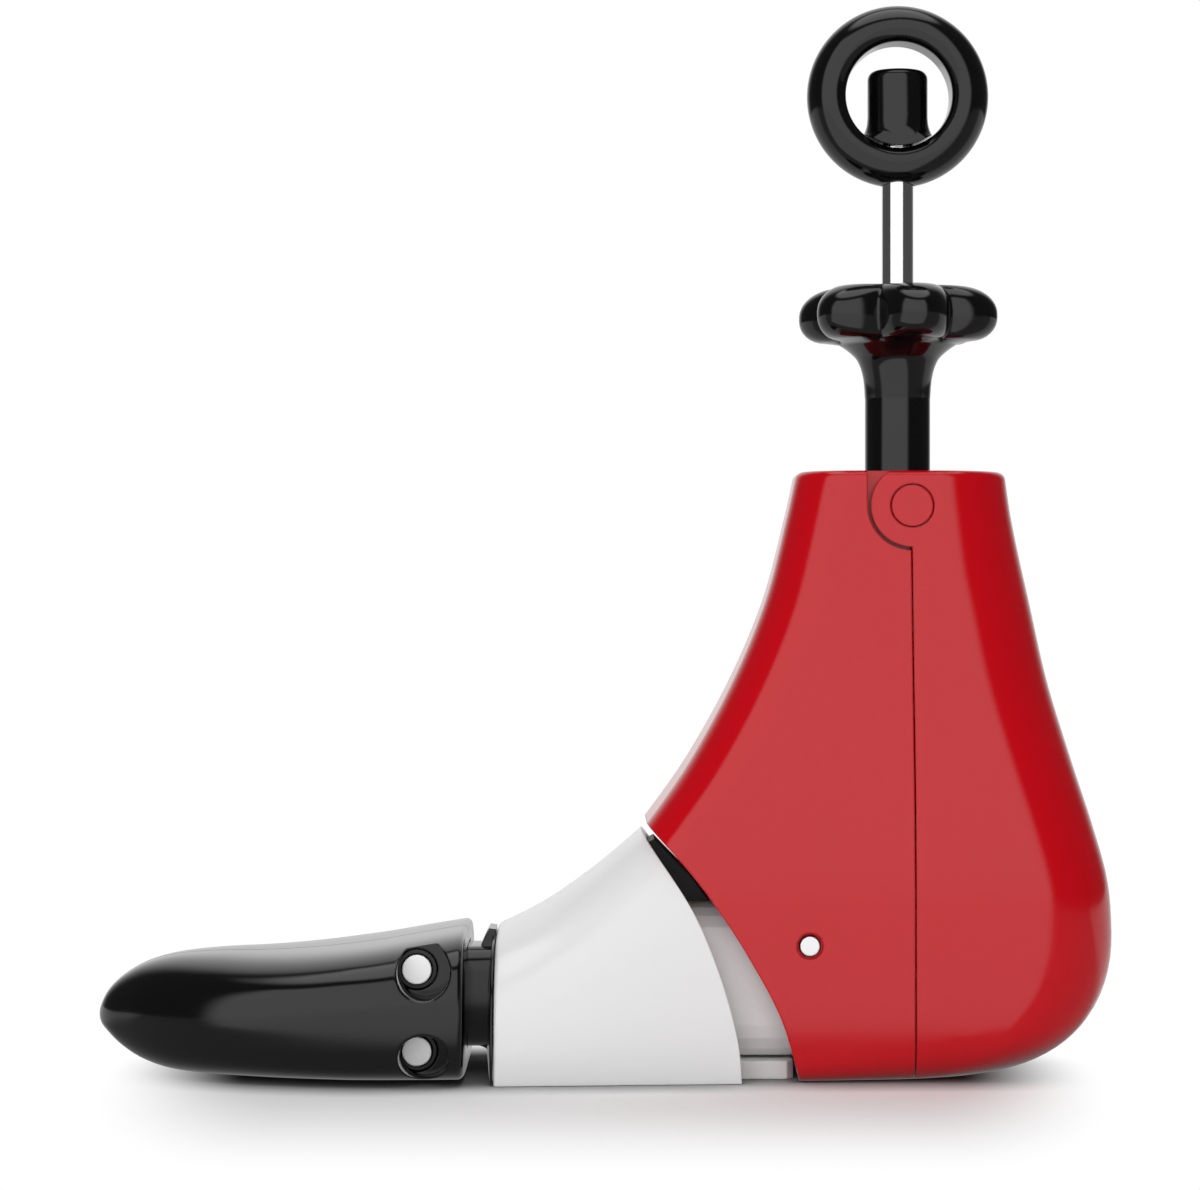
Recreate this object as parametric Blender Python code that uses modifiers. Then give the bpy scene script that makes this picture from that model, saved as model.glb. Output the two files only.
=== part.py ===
"""Adjustable shoe stretcher, modelled as an assembly of separate pieces.

The toe points to -X and the heel to +X, +Z is up, and the origin lies on the floor under the middle.
A star knob lengthens the heel, a pull ring spreads the toe, and the whole front half tilts at the ankle pin.
"""

import math

import bmesh
import bpy
from mathutils import Matrix, Vector

MM = 0.001

# Clearances
SEAT_GAP = 0.3 * MM
RUNNING_GAP = 0.45 * MM
SWING_GAP = 1.7 * MM
OVERCUT = 6.0 * MM

# Overall reach along X
OVERALL_LENGTH = 241.0 * MM
HEEL_BACK_X = OVERALL_LENGTH / 2
TOE_TIP_X = -OVERALL_LENGTH / 2

# Ankle pin, with its axis along Y; the places along X below start from it or from the screw line
ANKLE_TO_BACK = 72.4 * MM
ANKLE_X = HEEL_BACK_X - ANKLE_TO_BACK
ANKLE_Z = 31.6 * MM

# Heel body
HEEL_HEIGHT = 142.2 * MM
HEEL_WALL = 2.8 * MM
HEEL_HALF_WIDTH = 31.0 * MM
HEEL_TOP_HALF_WIDTH = 19.2 * MM
HEEL_TOP_SETBACK = 24.2 * MM
HEEL_TOP_LENGTH = 50.0 * MM
HEEL_FRONT_REACH = 54.5 * MM
HEEL_FRONT_RADIUS = 14.0 * MM
HEEL_BACK_RADIUS = 20.0 * MM
HEEL_BULGE_HEIGHT = 33.0 * MM
HEEL_FLAT_END_INSET = 35.5 * MM
HEEL_BASE_RADIUS_FRONT = 2.5 * MM
HEEL_BASE_RADIUS_BACK = 13.0 * MM
HEEL_BASE_POWER = 2.2
HEEL_TOP_BACK_X = HEEL_BACK_X - HEEL_TOP_SETBACK
HEEL_TOP_FRONT_X = HEEL_TOP_BACK_X - HEEL_TOP_LENGTH

# Shares of the height, and of the front reach, back bulge and side bulge at that height
HEEL_OUTLINE = (
    (1.000, 0.000, 0.000, 0.00),
    (0.920, 0.046, 0.070, 0.03),
    (0.785, 0.138, 0.236, 0.22),
    (0.650, 0.284, 0.400, 0.48),
    (0.515, 0.477, 0.628, 0.75),
    (0.414, 0.661, 0.814, 0.90),
    (0.320, 0.845, 0.960, 0.98),
    (0.232, 0.950, 1.000, 1.00),
    (0.120, 1.000, 1.000, 1.00),
    (0.000, 1.000, 1.000, 1.00),
)
HEEL_RING_SHARES = (0.005, 0.015, 0.030, 0.050, 0.075, 0.11, 0.17, 0.24, 0.32,
                    0.41, 0.51, 0.62, 0.75, 0.88)

# Heel hinge, between the two heel shells
HINGE_DROP = 8.3 * MM
KNUCKLE_RADIUS = 9.7 * MM
KNUCKLE_GAP = 0.8 * MM
CHEEK_THICKNESS = 3.0 * MM
KNUCKLE_INNER_Y = 15.5 * MM
HINGE_PIN_RADIUS = 2.6 * MM
HINGE_CAP_RADIUS = 4.85 * MM
HINGE_CAP_DEPTH = 1.6 * MM
SCREW_TO_BACK = 49.6 * MM
SCREW_X = HEEL_BACK_X - SCREW_TO_BACK
HINGE_X = SCREW_X + 1.9 * MM
HINGE_Z = HEEL_HEIGHT - HINGE_DROP
PARTING_X = HINGE_X - 0.2 * MM
CHEEK_OUTER_Y = KNUCKLE_INNER_Y - SEAT_GAP
CHEEK_INNER_Y = CHEEK_OUTER_Y - CHEEK_THICKNESS
CHEEK_FRONT_X = HINGE_X - KNUCKLE_RADIUS - KNUCKLE_GAP - 4.0 * MM
CHEEK_DROP = 14.5 * MM
HEEL_SWING = math.radians(8.0)

# Screw line: star knob, hollow screw and the rod inside them
SLEEVE_RADIUS = 7.8 * MM
SCREW_RADIUS = 7.0 * MM
ROD_RADIUS = 3.8 * MM
ROD_BORE = ROD_RADIUS + RUNNING_GAP
SPIGOT_RADIUS = 5.6 * MM
SPIGOT_BORE = SPIGOT_RADIUS + SEAT_GAP
COLLAR_BORE = SLEEVE_RADIUS + 0.6 * MM
COLLAR_REACH = 8.6 * MM
LENGTH_TRAVEL = 22.0 * MM

# Star knob
KNOB_TOP_Z = HEEL_HEIGHT + 44.4 * MM
KNOB_HEIGHT = 13.0 * MM
KNOB_RADIUS = 24.3 * MM
KNOB_VALLEY_RADIUS = 17.6 * MM
KNOB_EDGE_RADIUS = 5.6 * MM
KNOB_LOBES = 6
KNOB_LOBE_TURN = math.radians(-79.0)
KNOB_CROWN = 6.3 * MM
KNOB_BOTTOM_Z = KNOB_TOP_Z - KNOB_HEIGHT
SLEEVE_BOTTOM_Z = HEEL_HEIGHT - 1.7 * MM
# Shares of the flare's height under the knob, and of the sleeve's radius there
KNOB_FLARE_HEIGHT = 14.0 * MM
KNOB_FLARE = ((0.0429, 1.8205), (0.1571, 1.5256), (0.3143, 1.2436), (0.6071, 1.0641), (1.0, 1.0))

# Pull ring and its boss
RING_CENTRE_Z = KNOB_TOP_Z + 45.8 * MM
RING_RADIUS = 21.9 * MM
RING_BORE = 12.65 * MM
RING_DEPTH = 14.5 * MM
RING_BORE_FILLET = 3.2 * MM
BOSS_RADIUS = 7.2 * MM
BOSS_TOP_ABOVE_CENTRE = 6.4 * MM
BOSS_FOOT_RADIUS = 9.6 * MM
BOSS_FOOT_HEIGHT = 6.5 * MM
BOSS_TOP_Z = RING_CENTRE_Z + BOSS_TOP_ABOVE_CENTRE
BOSS_CROWN = 7.5 * MM
ROD_TOP_Z = BOSS_TOP_Z - BOSS_CROWN - SEAT_GAP
WIDTH_TRAVEL = 14.0 * MM

# Screw frame inside the heel: a bent carrier with two arms for the nuts
FRAME_HALF_WIDTH = 11.2 * MM
FRAME_SPINE_FRONT_X = SCREW_X - 16.9 * MM
FRAME_SPINE_THICKNESS = 4.0 * MM
FRAME_TAB_TOP_Z = HEEL_HEIGHT - 11.2 * MM
FRAME_TAB_FRONT_X = FRAME_SPINE_FRONT_X - 2.0 * MM
FRAME_TAB_BACK_X = FRAME_SPINE_FRONT_X + 6.0 * MM
FRAME_REAR_SPINE_X = SCREW_X + 12.1 * MM
FRAME_REAR_THICKNESS = 3.6 * MM
FRAME_REAR_BOTTOM_Z = 12.0 * MM
UPPER_ARM_BOTTOM_Z = HEEL_HEIGHT - 38.2 * MM
UPPER_ARM_HEIGHT = 13.0 * MM
LOWER_ARM_BOTTOM_Z = ANKLE_Z + 20.4 * MM
LOWER_ARM_HEIGHT = 7.5 * MM
UPPER_ARM_BACK_X = SCREW_X + 13.5 * MM
UPPER_ARM_TOP_Z = UPPER_ARM_BOTTOM_Z + UPPER_ARM_HEIGHT
LOWER_ARM_TOP_Z = LOWER_ARM_BOTTOM_Z + LOWER_ARM_HEIGHT
FRAME_SPINE_BACK_X = FRAME_SPINE_FRONT_X + FRAME_SPINE_THICKNESS
FRAME_REAR_BACK_X = FRAME_REAR_SPINE_X + FRAME_REAR_THICKNESS
LENGTH_NUT_RADIUS = 8.8 * MM
LENGTH_NUT_FLANGE = 1.5 * MM
LENGTH_NUT_FLANGE_RADIUS = 10.8 * MM
WIDTH_NUT_RADIUS = 6.5 * MM
WIDTH_NUT_FLANGE = 1.4 * MM
WIDTH_NUT_FLANGE_RADIUS = 8.5 * MM
FRAME_SCREW_X = FRAME_SPINE_FRONT_X + 2.5 * MM
FRAME_SCREW_Y = 7.0 * MM
FRAME_SCREW_RADIUS = 1.5 * MM
FRAME_SCREW_HEAD_RADIUS = 2.9 * MM
FRAME_SCREW_HEAD_HEIGHT = 2.0 * MM
FRAME_SCREW_REACH = 6.0 * MM
FRAME_TAB_THICKNESS = 4.0 * MM
FRAME_BOSS_RADIUS = 3.5 * MM

# Carriage that the hollow screw pushes down, with the follower pin between its ears
CARRIAGE_TOP_Z = UPPER_ARM_BOTTOM_Z - 6.0 * MM
CARRIAGE_HEIGHT = 14.0 * MM
CARRIAGE_HALF_WIDTH = 9.2 * MM
CARRIAGE_BACK_X = SCREW_X + 10.3 * MM
CARRIAGE_FRONT_X = FRAME_SPINE_BACK_X + 0.4 * MM
NECK_RADIUS = 5.9 * MM
CLIP_THICKNESS = 2.0 * MM
CLIP_RECESS = 4.5 * MM
CLIP_SPREAD = 2.6 * MM
WASHER_THICKNESS = 1.4 * MM
FOLLOWER_X = CARRIAGE_BACK_X + 4.6 * MM
FOLLOWER_RADIUS = 4.0 * MM
EAR_THICKNESS = 3.0 * MM
EAR_RADIUS = 6.4 * MM
FOLLOWER_Z = CARRIAGE_TOP_Z - CARRIAGE_HEIGHT / 2
CARRIAGE_BOTTOM_Z = CARRIAGE_TOP_Z - CARRIAGE_HEIGHT
EAR_INNER_Y = 5.2 * MM
EAR_OUTER_Y = EAR_INNER_Y + EAR_THICKNESS

# Ramp in the rear heel shell that the follower pin bears on
RAMP_HALF_WIDTH = 4.5 * MM
RAMP_HEIGHT = 37.5 * MM
RAMP_TOP_Z = CARRIAGE_TOP_Z + 1.0 * MM
RAMP_BOTTOM_Z = RAMP_TOP_Z - RAMP_HEIGHT
RAMP_STEPS = 12
RAMP_PIN_RADIUS = 2.0 * MM
RAMP_PIN_DROP = 9.0 * MM
RIB_THICKNESS = 2.6 * MM
RIB_DEPTH = 9.0 * MM

# Ankle pin and what stands round it
ANKLE_PIN_RADIUS = 2.25 * MM
ANKLE_HOLE_RADIUS = 3.05 * MM
ANKLE_RECESS = 1.4 * MM
ANKLE_PIN_SINK = 0.5 * MM
SPACER_RADIUS = 5.4 * MM
ARCH_TILT = math.radians(20.0)

# Width wedge on the foot of the rod, and the push rod that it drives
PUSH_TRAVEL = 5.0 * MM
PUSH_NOSE_RADIUS = 9.8 * MM
PUSH_HALF_WIDTH = 4.0 * MM
PUSH_BAR_HEIGHT = 4.5 * MM
PUSH_ROOF_Z = ANKLE_Z + 4.6 * MM
PUSH_SLOT_HALF_HEIGHT = ANKLE_PIN_RADIUS + SEAT_GAP
WEDGE_TOP_Z = ANKLE_Z + 16.4 * MM
WEDGE_HORN_Z = WEDGE_TOP_Z + 2.0 * MM
WEDGE_HORN_BACK_X = ANKLE_X + 11.9 * MM
WEDGE_BOTTOM_Z = ANKLE_Z - 9.6 * MM
WEDGE_HALF_WIDTH = 8.0 * MM
WEDGE_BACK_X = FRAME_REAR_SPINE_X - 0.5 * MM
ROD_NECK_RADIUS = 2.9 * MM
WEDGE_SLOPE = PUSH_TRAVEL / WIDTH_TRAVEL

# Midfoot shell
MIDFOOT_MOUTH_X = ANKLE_X - 73.1 * MM
MIDFOOT_MOUTH_HEIGHT = 33.5 * MM
MIDFOOT_HALF_WIDTH = 37.0 * MM
MIDFOOT_REAR_HALF_WIDTH = 32.5 * MM
MIDFOOT_REAR_X = ANKLE_X - 15.8 * MM
MIDFOOT_WALL = 2.6 * MM
MIDFOOT_RUN_ON = 3.7 * MM
MIDFOOT_POWER = 3.0
MIDFOOT_LENGTH = MIDFOOT_REAR_X - MIDFOOT_MOUTH_X
# Shares of the midfoot's length and of its mouth's height, up the instep line and on behind the cut edge
MIDFOOT_INSTEP = ((0.0, 1.0), (0.1047, 1.0836), (0.2251, 1.2), (0.3333, 1.3284), (0.4363, 1.4627),
                  (0.5236, 1.5881), (0.5969, 1.6985), (0.7155, 1.8806), (0.8901, 2.1493), (1.0646, 2.3881))
MIDFOOT_BACK_EDGE = ((0.6003, 1.6985), (0.7993, 1.194), (0.9145, 0.7254), (0.9825, 0.2985), (1.0, 0.0))
# Shares of the heel's front reach before the ankle pin, and of the heel's height
HEEL_FRONT_EDGE = ((0.6972, 0.4191), (0.5413, 0.3558), (0.4092, 0.2911), (0.2679, 0.2082), (0.1248, 0.1055),
                   (0.0404, 0.0))

# Arch core, the bar between midfoot shell and heel
CORE_HALF_WIDTH = 24.0 * MM
CORE_EYE_RADIUS = 8.6 * MM
CORE_WALL = 3.0 * MM
CORE_CORNER = 8.0 * MM
CORE_BOTTOM_Z = 4.5 * MM
CORE_TOP_Z = ANKLE_Z + CORE_EYE_RADIUS
CORE_FRONT_X = MIDFOOT_MOUTH_X + 5.0 * MM
CORE_SLOT_FRONT_X = ANKLE_X - 18.1 * MM
CORE_LOWER_BACK_X = ANKLE_X - 4.7 * MM

# Sole plate
SOLE_THICKNESS = 4.2 * MM
SOLE_FRONT_X = MIDFOOT_MOUTH_X + 0.6 * MM
SOLE_BACK_X = ANKLE_X - 3.5 * MM
SOLE_SCREW_RADIUS = 1.6 * MM
SOLE_SCREW_HEAD_RADIUS = 3.2 * MM
SOLE_SCREW_HEAD_HEIGHT = 1.8 * MM
SOLE_SCREW_REACH = 3.6 * MM
SOLE_BOSS_RADIUS = 4.2 * MM
SOLE_BOSS_HEIGHT = 6.0 * MM
SHELL_SCREW_X = MIDFOOT_MOUTH_X + 11.0 * MM
SHELL_SCREW_Y = 29.6 * MM
CORE_SCREW_X = ANKLE_X - 24.1 * MM
CORE_SCREW_Y = 14.0 * MM

# Nose carrier: flange in the shell's mouth, neck, and the block inside the toe
FLANGE_THICKNESS = 3.6 * MM
FLANGE_RIM_INSET = 1.6 * MM
NECK_HALF_WIDTH = 12.0 * MM
NECK_BOTTOM_Z = 5.6 * MM
NECK_TOP_Z = 29.3 * MM
BLOCK_BACK_X = MIDFOOT_MOUTH_X - 12.0 * MM
BLOCK_FRONT_X = BLOCK_BACK_X - 12.5 * MM
BLOCK_BOTTOM_Z = 2.7 * MM
BLOCK_TOP_Z = 30.4 * MM
PLUG_BACK_X = MIDFOOT_MOUTH_X + 11.0 * MM
PLUG_HALF_WIDTH = 20.4 * MM
PLUG_BOTTOM_Z = 12.0 * MM
PLUG_TOP_Z = 29.0 * MM
CARRIER_SCREW_X = MIDFOOT_MOUTH_X + 8.0 * MM
CARRIER_SCREW_Z = 22.0 * MM
CARRIER_SCREW_RADIUS = 1.5 * MM
CARRIER_SCREW_HEAD_RADIUS = 2.7 * MM
CARRIER_SCREW_HEAD_HEIGHT = 1.8 * MM
CARRIER_SCREW_REACH = 7.0 * MM
GUIDE_X = BLOCK_BACK_X - 6.0 * MM
GUIDE_UPPER_Z = 26.0 * MM
GUIDE_LOWER_Z = 7.0 * MM
GUIDE_RADIUS = 3.4 * MM
GUIDE_END_Y = 28.5 * MM
BUSH_RADIUS = 4.6 * MM
PIT_FLOOR_Y = 27.5 * MM
PIT_BACK_OFFSET = 1.6 * MM
UPPER_PIT_RADIUS = 6.3 * MM
UPPER_PIT_LIFT = -0.9 * MM
LOWER_PIT_RADIUS = 5.6 * MM
LOWER_PIT_LIFT = -0.2 * MM

# Cam plate and its pins
CAM_CENTRE_Z = 16.5 * MM
CAM_THICKNESS = 3.0 * MM
CAM_TAIL_HALF_WIDTH = 6.0 * MM
CAM_HEAD_HALF_WIDTH = 19.0 * MM
CAM_HEAD_FRONT_X = MIDFOOT_MOUTH_X - 45.0 * MM
CAM_HEAD_BACK_X = CAM_HEAD_FRONT_X + 19.0 * MM
CAM_PIN_X = CAM_HEAD_FRONT_X + 8.0 * MM
CAM_PIN_Y = 9.0 * MM
CAM_PIN_RADIUS = 2.2 * MM
CAM_PIN_BOTTOM_Z = 9.0 * MM
CAM_PIN_TOP_Z = 24.0 * MM
CAM_BOSS_RADIUS = 5.0 * MM
TOE_SPREAD = 5.0 * MM
CAM_TAIL_BACK_X = MIDFOOT_MOUTH_X + 18.0 * MM
RIVET_X = CAM_TAIL_BACK_X - 4.5 * MM
RIVET_RADIUS = 2.0 * MM
RIVET_HEAD_RADIUS = 3.4 * MM
RIVET_HEAD_HEIGHT = 1.2 * MM
PUSH_TAIL_FRONT_X = RIVET_X - 4.5 * MM

# Toe halves
TOE_BACK_X = MIDFOOT_MOUTH_X - 7.0 * MM
TOE_HALF_WIDTH = 40.0 * MM
TOE_HEIGHT = 33.9 * MM
TOE_TIP_Z = 12.8 * MM
TOE_WALL = 3.0 * MM
TOE_SPLIT_GAP = 0.3 * MM
TOE_BACK_POWER = 4.8
TOE_TIP_POWER = 2.3
TOE_POWER_RUN = 62.0 * MM
TOE_WAIST_SHARE = 0.34
TOE_BLOCK_FRONT_X = TOE_BACK_X - 22.0 * MM
# Shares of the length from back to tip, of the height for top and bottom, and of the half width
TOE_OUTLINE = (
    (0.0000, 1.0000, 0.0000, 0.985),
    (0.1017, 0.9558, 0.0000, 1.000),
    (0.2486, 0.8909, 0.0000, 0.995),
    (0.4068, 0.8437, 0.0000, 0.945),
    (0.5424, 0.8230, 0.0000, 0.860),
    (0.6780, 0.8171, 0.0000, 0.730),
    (0.7910, 0.7935, 0.0177, 0.575),
    (0.8701, 0.7404, 0.0708, 0.430),
    (0.9266, 0.6608, 0.1475, 0.300),
    (0.9718, 0.5516, 0.2448, 0.175),
    (0.9944, 0.4425, 0.3127, 0.070),
)

# Finishes: colour, roughness and how metallic
FINISHES = {
    "red_gloss": ((0.55, 0.004, 0.012), 0.12, 0.0),
    "black_gloss": ((0.006, 0.006, 0.007), 0.14, 0.0),
    "white_gloss": ((0.84, 0.84, 0.84), 0.22, 0.0),
    "grey_plastic": ((0.62, 0.62, 0.62), 0.35, 0.0),
    "dark_plastic": ((0.02, 0.02, 0.022), 0.45, 0.0),
    "polished_steel": ((0.78, 0.78, 0.80), 0.10, 1.0),
    "plain_steel": ((0.55, 0.56, 0.58), 0.30, 1.0),
    "brass": ((0.72, 0.52, 0.22), 0.30, 1.0),
}


def clear_scene():
    """Remove every object that the start-up file holds."""
    for thing in list(bpy.data.objects):
        bpy.data.objects.remove(thing, do_unlink=True)


def mesh_object(name, shape):
    """Make an object from a bmesh, with its faces pointing out."""
    bmesh.ops.recalc_face_normals(shape, faces=shape.faces)
    mesh = bpy.data.meshes.new(name)
    shape.to_mesh(mesh)
    shape.free()
    thing = bpy.data.objects.new(name, mesh)
    bpy.context.scene.collection.objects.link(thing)
    return thing


def box(low, high):
    """A box between two corners."""
    shape = bmesh.new()
    bmesh.ops.create_cube(shape, size=1.0)
    low = Vector(low)
    high = Vector(high)
    size = high - low
    bmesh.ops.scale(shape, vec=size, verts=shape.verts)
    bmesh.ops.translate(shape, vec=(low + high) / 2, verts=shape.verts)
    return mesh_object("box", shape)


def bar(start, end, radius, sides=24):
    """A round bar between two points."""
    start = Vector(start)
    end = Vector(end)
    along = end - start
    turn = along.to_track_quat("Z", "Y").to_matrix().to_4x4()
    shape = bmesh.new()
    bmesh.ops.create_cone(shape, cap_ends=True, segments=sides, radius1=radius, radius2=radius,
                          depth=along.length, matrix=Matrix.Translation((start + end) / 2) @ turn)
    return mesh_object("bar", shape)


def upright(x, y, bottom, top, radius, sides=24):
    """A round bar along Z."""
    return bar((x, y, bottom), (x, y, top), radius, sides)


def crosswise(x, z, low_y, high_y, radius, sides=24):
    """A round bar along Y."""
    return bar((x, low_y, z), (x, high_y, z), radius, sides)


def evaluated_mesh(thing):
    """The mesh of an object with its modifiers, in world space and welded."""
    bpy.context.view_layer.update()
    graph = bpy.context.evaluated_depsgraph_get()
    mesh = bpy.data.meshes.new_from_object(thing.evaluated_get(graph))
    shape = bmesh.new()
    shape.from_mesh(mesh)
    bmesh.ops.transform(shape, matrix=thing.matrix_world, verts=shape.verts)
    bmesh.ops.remove_doubles(shape, verts=shape.verts, dist=0.002 * MM)
    bpy.data.meshes.remove(mesh)
    return shape


def turned(profile, x, y, steps=32, closed=False):
    """Turn a profile of (radius, height) points about a line along Z."""
    mesh = bpy.data.meshes.new("profile")
    count = len(profile)
    edges = [(i, i + 1) for i in range(count - 1)]
    if closed:
        edges.append((count - 1, 0))
    mesh.from_pydata([(radius, 0.0, height) for radius, height in profile], edges, [])
    thing = bpy.data.objects.new("turned", mesh)
    bpy.context.scene.collection.objects.link(thing)
    screw = thing.modifiers.new("Screw", "SCREW")
    screw.axis = "Z"
    screw.steps = steps
    screw.render_steps = steps
    screw.use_merge_vertices = True
    screw.merge_threshold = 0.01 * MM
    shape = evaluated_mesh(thing)
    bpy.data.objects.remove(thing, do_unlink=True)
    bmesh.ops.translate(shape, vec=(x, y, 0.0), verts=shape.verts)
    return mesh_object("turned", shape)


def washer(x, y, bottom, top, inner, outer, steps=32):
    """A flat ring about a line along Z."""
    return turned([(outer, top), (outer, bottom), (inner, bottom), (inner, top)], x, y, steps, closed=True)


def prism(outline, low, high, plane):
    """Extrude a flat outline. Plane is side (X and Z), plan (X and Y) or front (Y and Z)."""
    curve = bpy.data.curves.new("outline", "CURVE")
    curve.dimensions = "2D"
    curve.fill_mode = "BOTH"
    curve.extrude = (high - low) / 2
    spline = curve.splines.new("POLY")
    spline.points.add(len(outline) - 1)
    for point, (u, v) in zip(spline.points, outline):
        point.co = (u, v, 0.0, 1.0)
    spline.use_cyclic_u = True
    thing = bpy.data.objects.new("outline", curve)
    bpy.context.scene.collection.objects.link(thing)
    middle = (low + high) / 2
    if plane == "side":
        thing.matrix_world = Matrix(((1, 0, 0, 0), (0, 0, -1, middle), (0, 1, 0, 0), (0, 0, 0, 1)))
    elif plane == "plan":
        thing.matrix_world = Matrix.Translation((0.0, 0.0, middle))
    else:
        thing.matrix_world = Matrix(((0, 0, 1, middle), (1, 0, 0, 0), (0, 1, 0, 0), (0, 0, 0, 1)))
    shape = evaluated_mesh(thing)
    bpy.data.objects.remove(thing, do_unlink=True)
    bmesh.ops.dissolve_limit(shape, angle_limit=0.001, verts=shape.verts, edges=shape.edges)
    return mesh_object("prism", shape)


def loft(rings):
    """Skin a row of rings that have the same number of points, and close both ends."""
    shape = bmesh.new()
    rows = [[shape.verts.new(point) for point in ring] for ring in rings]
    count = len(rows[0])
    for near, far in zip(rows, rows[1:]):
        for i in range(count):
            j = (i + 1) % count
            shape.faces.new((near[i], near[j], far[j], far[i]))
    bmesh.ops.triangulate(shape, faces=shape.faces)
    shape.faces.new(list(reversed(rows[0])))
    shape.faces.new(rows[-1])
    return mesh_object("loft", shape)


def combine(target, tool, operation):
    """Cut, join or intersect two solids, and keep the result in the first."""
    boolean = target.modifiers.new("Boolean", "BOOLEAN")
    boolean.operation = operation
    boolean.solver = "EXACT"
    boolean.object = tool
    shape = evaluated_mesh(target)
    target.modifiers.clear()
    old = target.data
    mesh = bpy.data.meshes.new(target.name)
    bmesh.ops.dissolve_degenerate(shape, dist=0.002 * MM, edges=shape.edges)
    shape.to_mesh(mesh)
    shape.free()
    target.data = mesh
    bpy.data.meshes.remove(old)
    bpy.data.objects.remove(tool, do_unlink=True)
    return target


def cut(target, *tools):
    """Take tools away from a solid."""
    for tool in tools:
        combine(target, tool, "DIFFERENCE")
    return target


def join(target, *tools):
    """Add solids to a solid."""
    for tool in tools:
        combine(target, tool, "UNION")
    return target


def keep_inside(target, tool):
    """Keep what lies inside the tool."""
    return combine(target, tool, "INTERSECT")


def smooth_between(rows, at):
    """Read a smooth curve through rows of (place, value, value...) at a place. Places rise or fall."""
    rows = sorted(rows)
    at = min(max(at, rows[0][0]), rows[-1][0])
    index = 0
    while index < len(rows) - 2 and at > rows[index + 1][0]:
        index += 1
    before = rows[max(index - 1, 0)]
    start = rows[index]
    end = rows[index + 1]
    after = rows[min(index + 2, len(rows) - 1)]
    span = end[0] - start[0]
    share = (at - start[0]) / span
    values = []
    for column in range(1, len(start)):
        into = (end[column] - before[column]) / (end[0] - before[0]) * span
        out = (after[column] - start[column]) / (after[0] - start[0]) * span
        values.append(
            (2 * share ** 3 - 3 * share ** 2 + 1) * start[column]
            + (share ** 3 - 2 * share ** 2 + share) * into
            + (3 * share ** 2 - 2 * share ** 3) * end[column]
            + (share ** 3 - share ** 2) * out)
    return values


def smooth_line(points, steps):
    """A smooth line through a few points, with some steps between each two."""
    rows = [(float(i), u, v) for i, (u, v) in enumerate(points)]
    count = (len(points) - 1) * steps
    return [tuple(smooth_between(rows, i / steps)) for i in range(count + 1)]


def arc(x, z, radius, start, end, steps):
    """Points on an arc, with its angles in degrees."""
    angles = [math.radians(start + (end - start) * i / steps) for i in range(steps + 1)]
    return [(x + radius * math.cos(a), z + radius * math.sin(a)) for a in angles]


def rounded_rectangle(low_u, high_u, low_v, high_v, radius, steps=4):
    """A rectangle with round corners."""
    points = []
    for u, v, start in ((high_u - radius, high_v - radius, 0), (low_u + radius, high_v - radius, 90),
                        (low_u + radius, low_v + radius, 180), (high_u - radius, low_v + radius, 270)):
        points += arc(u, v, radius, start, start + 90, steps)
    return points


# The heel


def heel_back_x(z):
    """The heel's back, read from its outline, and round below the bulge."""
    if z < HEEL_BULGE_HEIGHT:
        flat_end = HEEL_BACK_X - HEEL_FLAT_END_INSET
        share = (HEEL_BULGE_HEIGHT - max(z, 0.0)) / HEEL_BULGE_HEIGHT
        reach = (1 - share ** HEEL_BASE_POWER) ** (1 / HEEL_BASE_POWER)
        return flat_end + HEEL_FLAT_END_INSET * reach
    share = smooth_between(HEEL_OUTLINE, z / HEEL_HEIGHT)[1]
    return HEEL_TOP_BACK_X + HEEL_TOP_SETBACK * share


def heel_front_x(z):
    """The heel's front, which runs on behind the cut edge."""
    share = smooth_between(HEEL_OUTLINE, z / HEEL_HEIGHT)[0]
    return HEEL_TOP_FRONT_X - HEEL_FRONT_REACH * share


def heel_half_width(z):
    """Half the heel's width, without the rounding at its base."""
    share = smooth_between(HEEL_OUTLINE, z / HEEL_HEIGHT)[2]
    return HEEL_TOP_HALF_WIDTH + (HEEL_HALF_WIDTH - HEEL_TOP_HALF_WIDTH) * share


def heel_base_inset(x, z):
    """How far the side turns in near the floor, more towards the back."""
    share = min(max((x - ANKLE_X) / (HEEL_BACK_X - HEEL_BASE_RADIUS_BACK - ANKLE_X), 0.0), 1.0)
    radius = HEEL_BASE_RADIUS_FRONT + (HEEL_BASE_RADIUS_BACK - HEEL_BASE_RADIUS_FRONT) * share
    if z >= radius:
        return 0.0
    return radius - math.sqrt(max(radius ** 2 - (radius - z) ** 2, 0.0))


def heel_ring(z, inset, corner_steps, side_steps):
    """One level section of the heel: straight sides and a rounded front and back."""
    front = heel_front_x(z) + inset
    back = heel_back_x(z) - inset
    half = heel_half_width(z) - inset
    front_radius = min(HEEL_FRONT_RADIUS - inset, half * 0.96)
    back_radius = min(HEEL_BACK_RADIUS - inset, half * 0.96)
    side = arc(back - back_radius, half - back_radius, back_radius, 0, 90, corner_steps)
    run_start = back - back_radius
    run_end = front + front_radius
    side += [(run_start + (run_end - run_start) * i / side_steps, half) for i in range(1, side_steps)]
    side += arc(front + front_radius, half - front_radius, front_radius, 90, 180, corner_steps)
    half_ring = [(x, y - heel_base_inset(x, z) * y / half) for x, y in side]
    mirrored = [(x, -y) for x, y in reversed(half_ring)]
    return [(x, y, z) for x, y in half_ring + mirrored]


def heel_solid():
    """The heel's outer form as one solid."""
    heights = [0.0] + [share * HEEL_HEIGHT for share in HEEL_RING_SHARES] + [HEEL_HEIGHT]
    return loft([heel_ring(z, 0.0, 6, 3) for z in heights])


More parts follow.
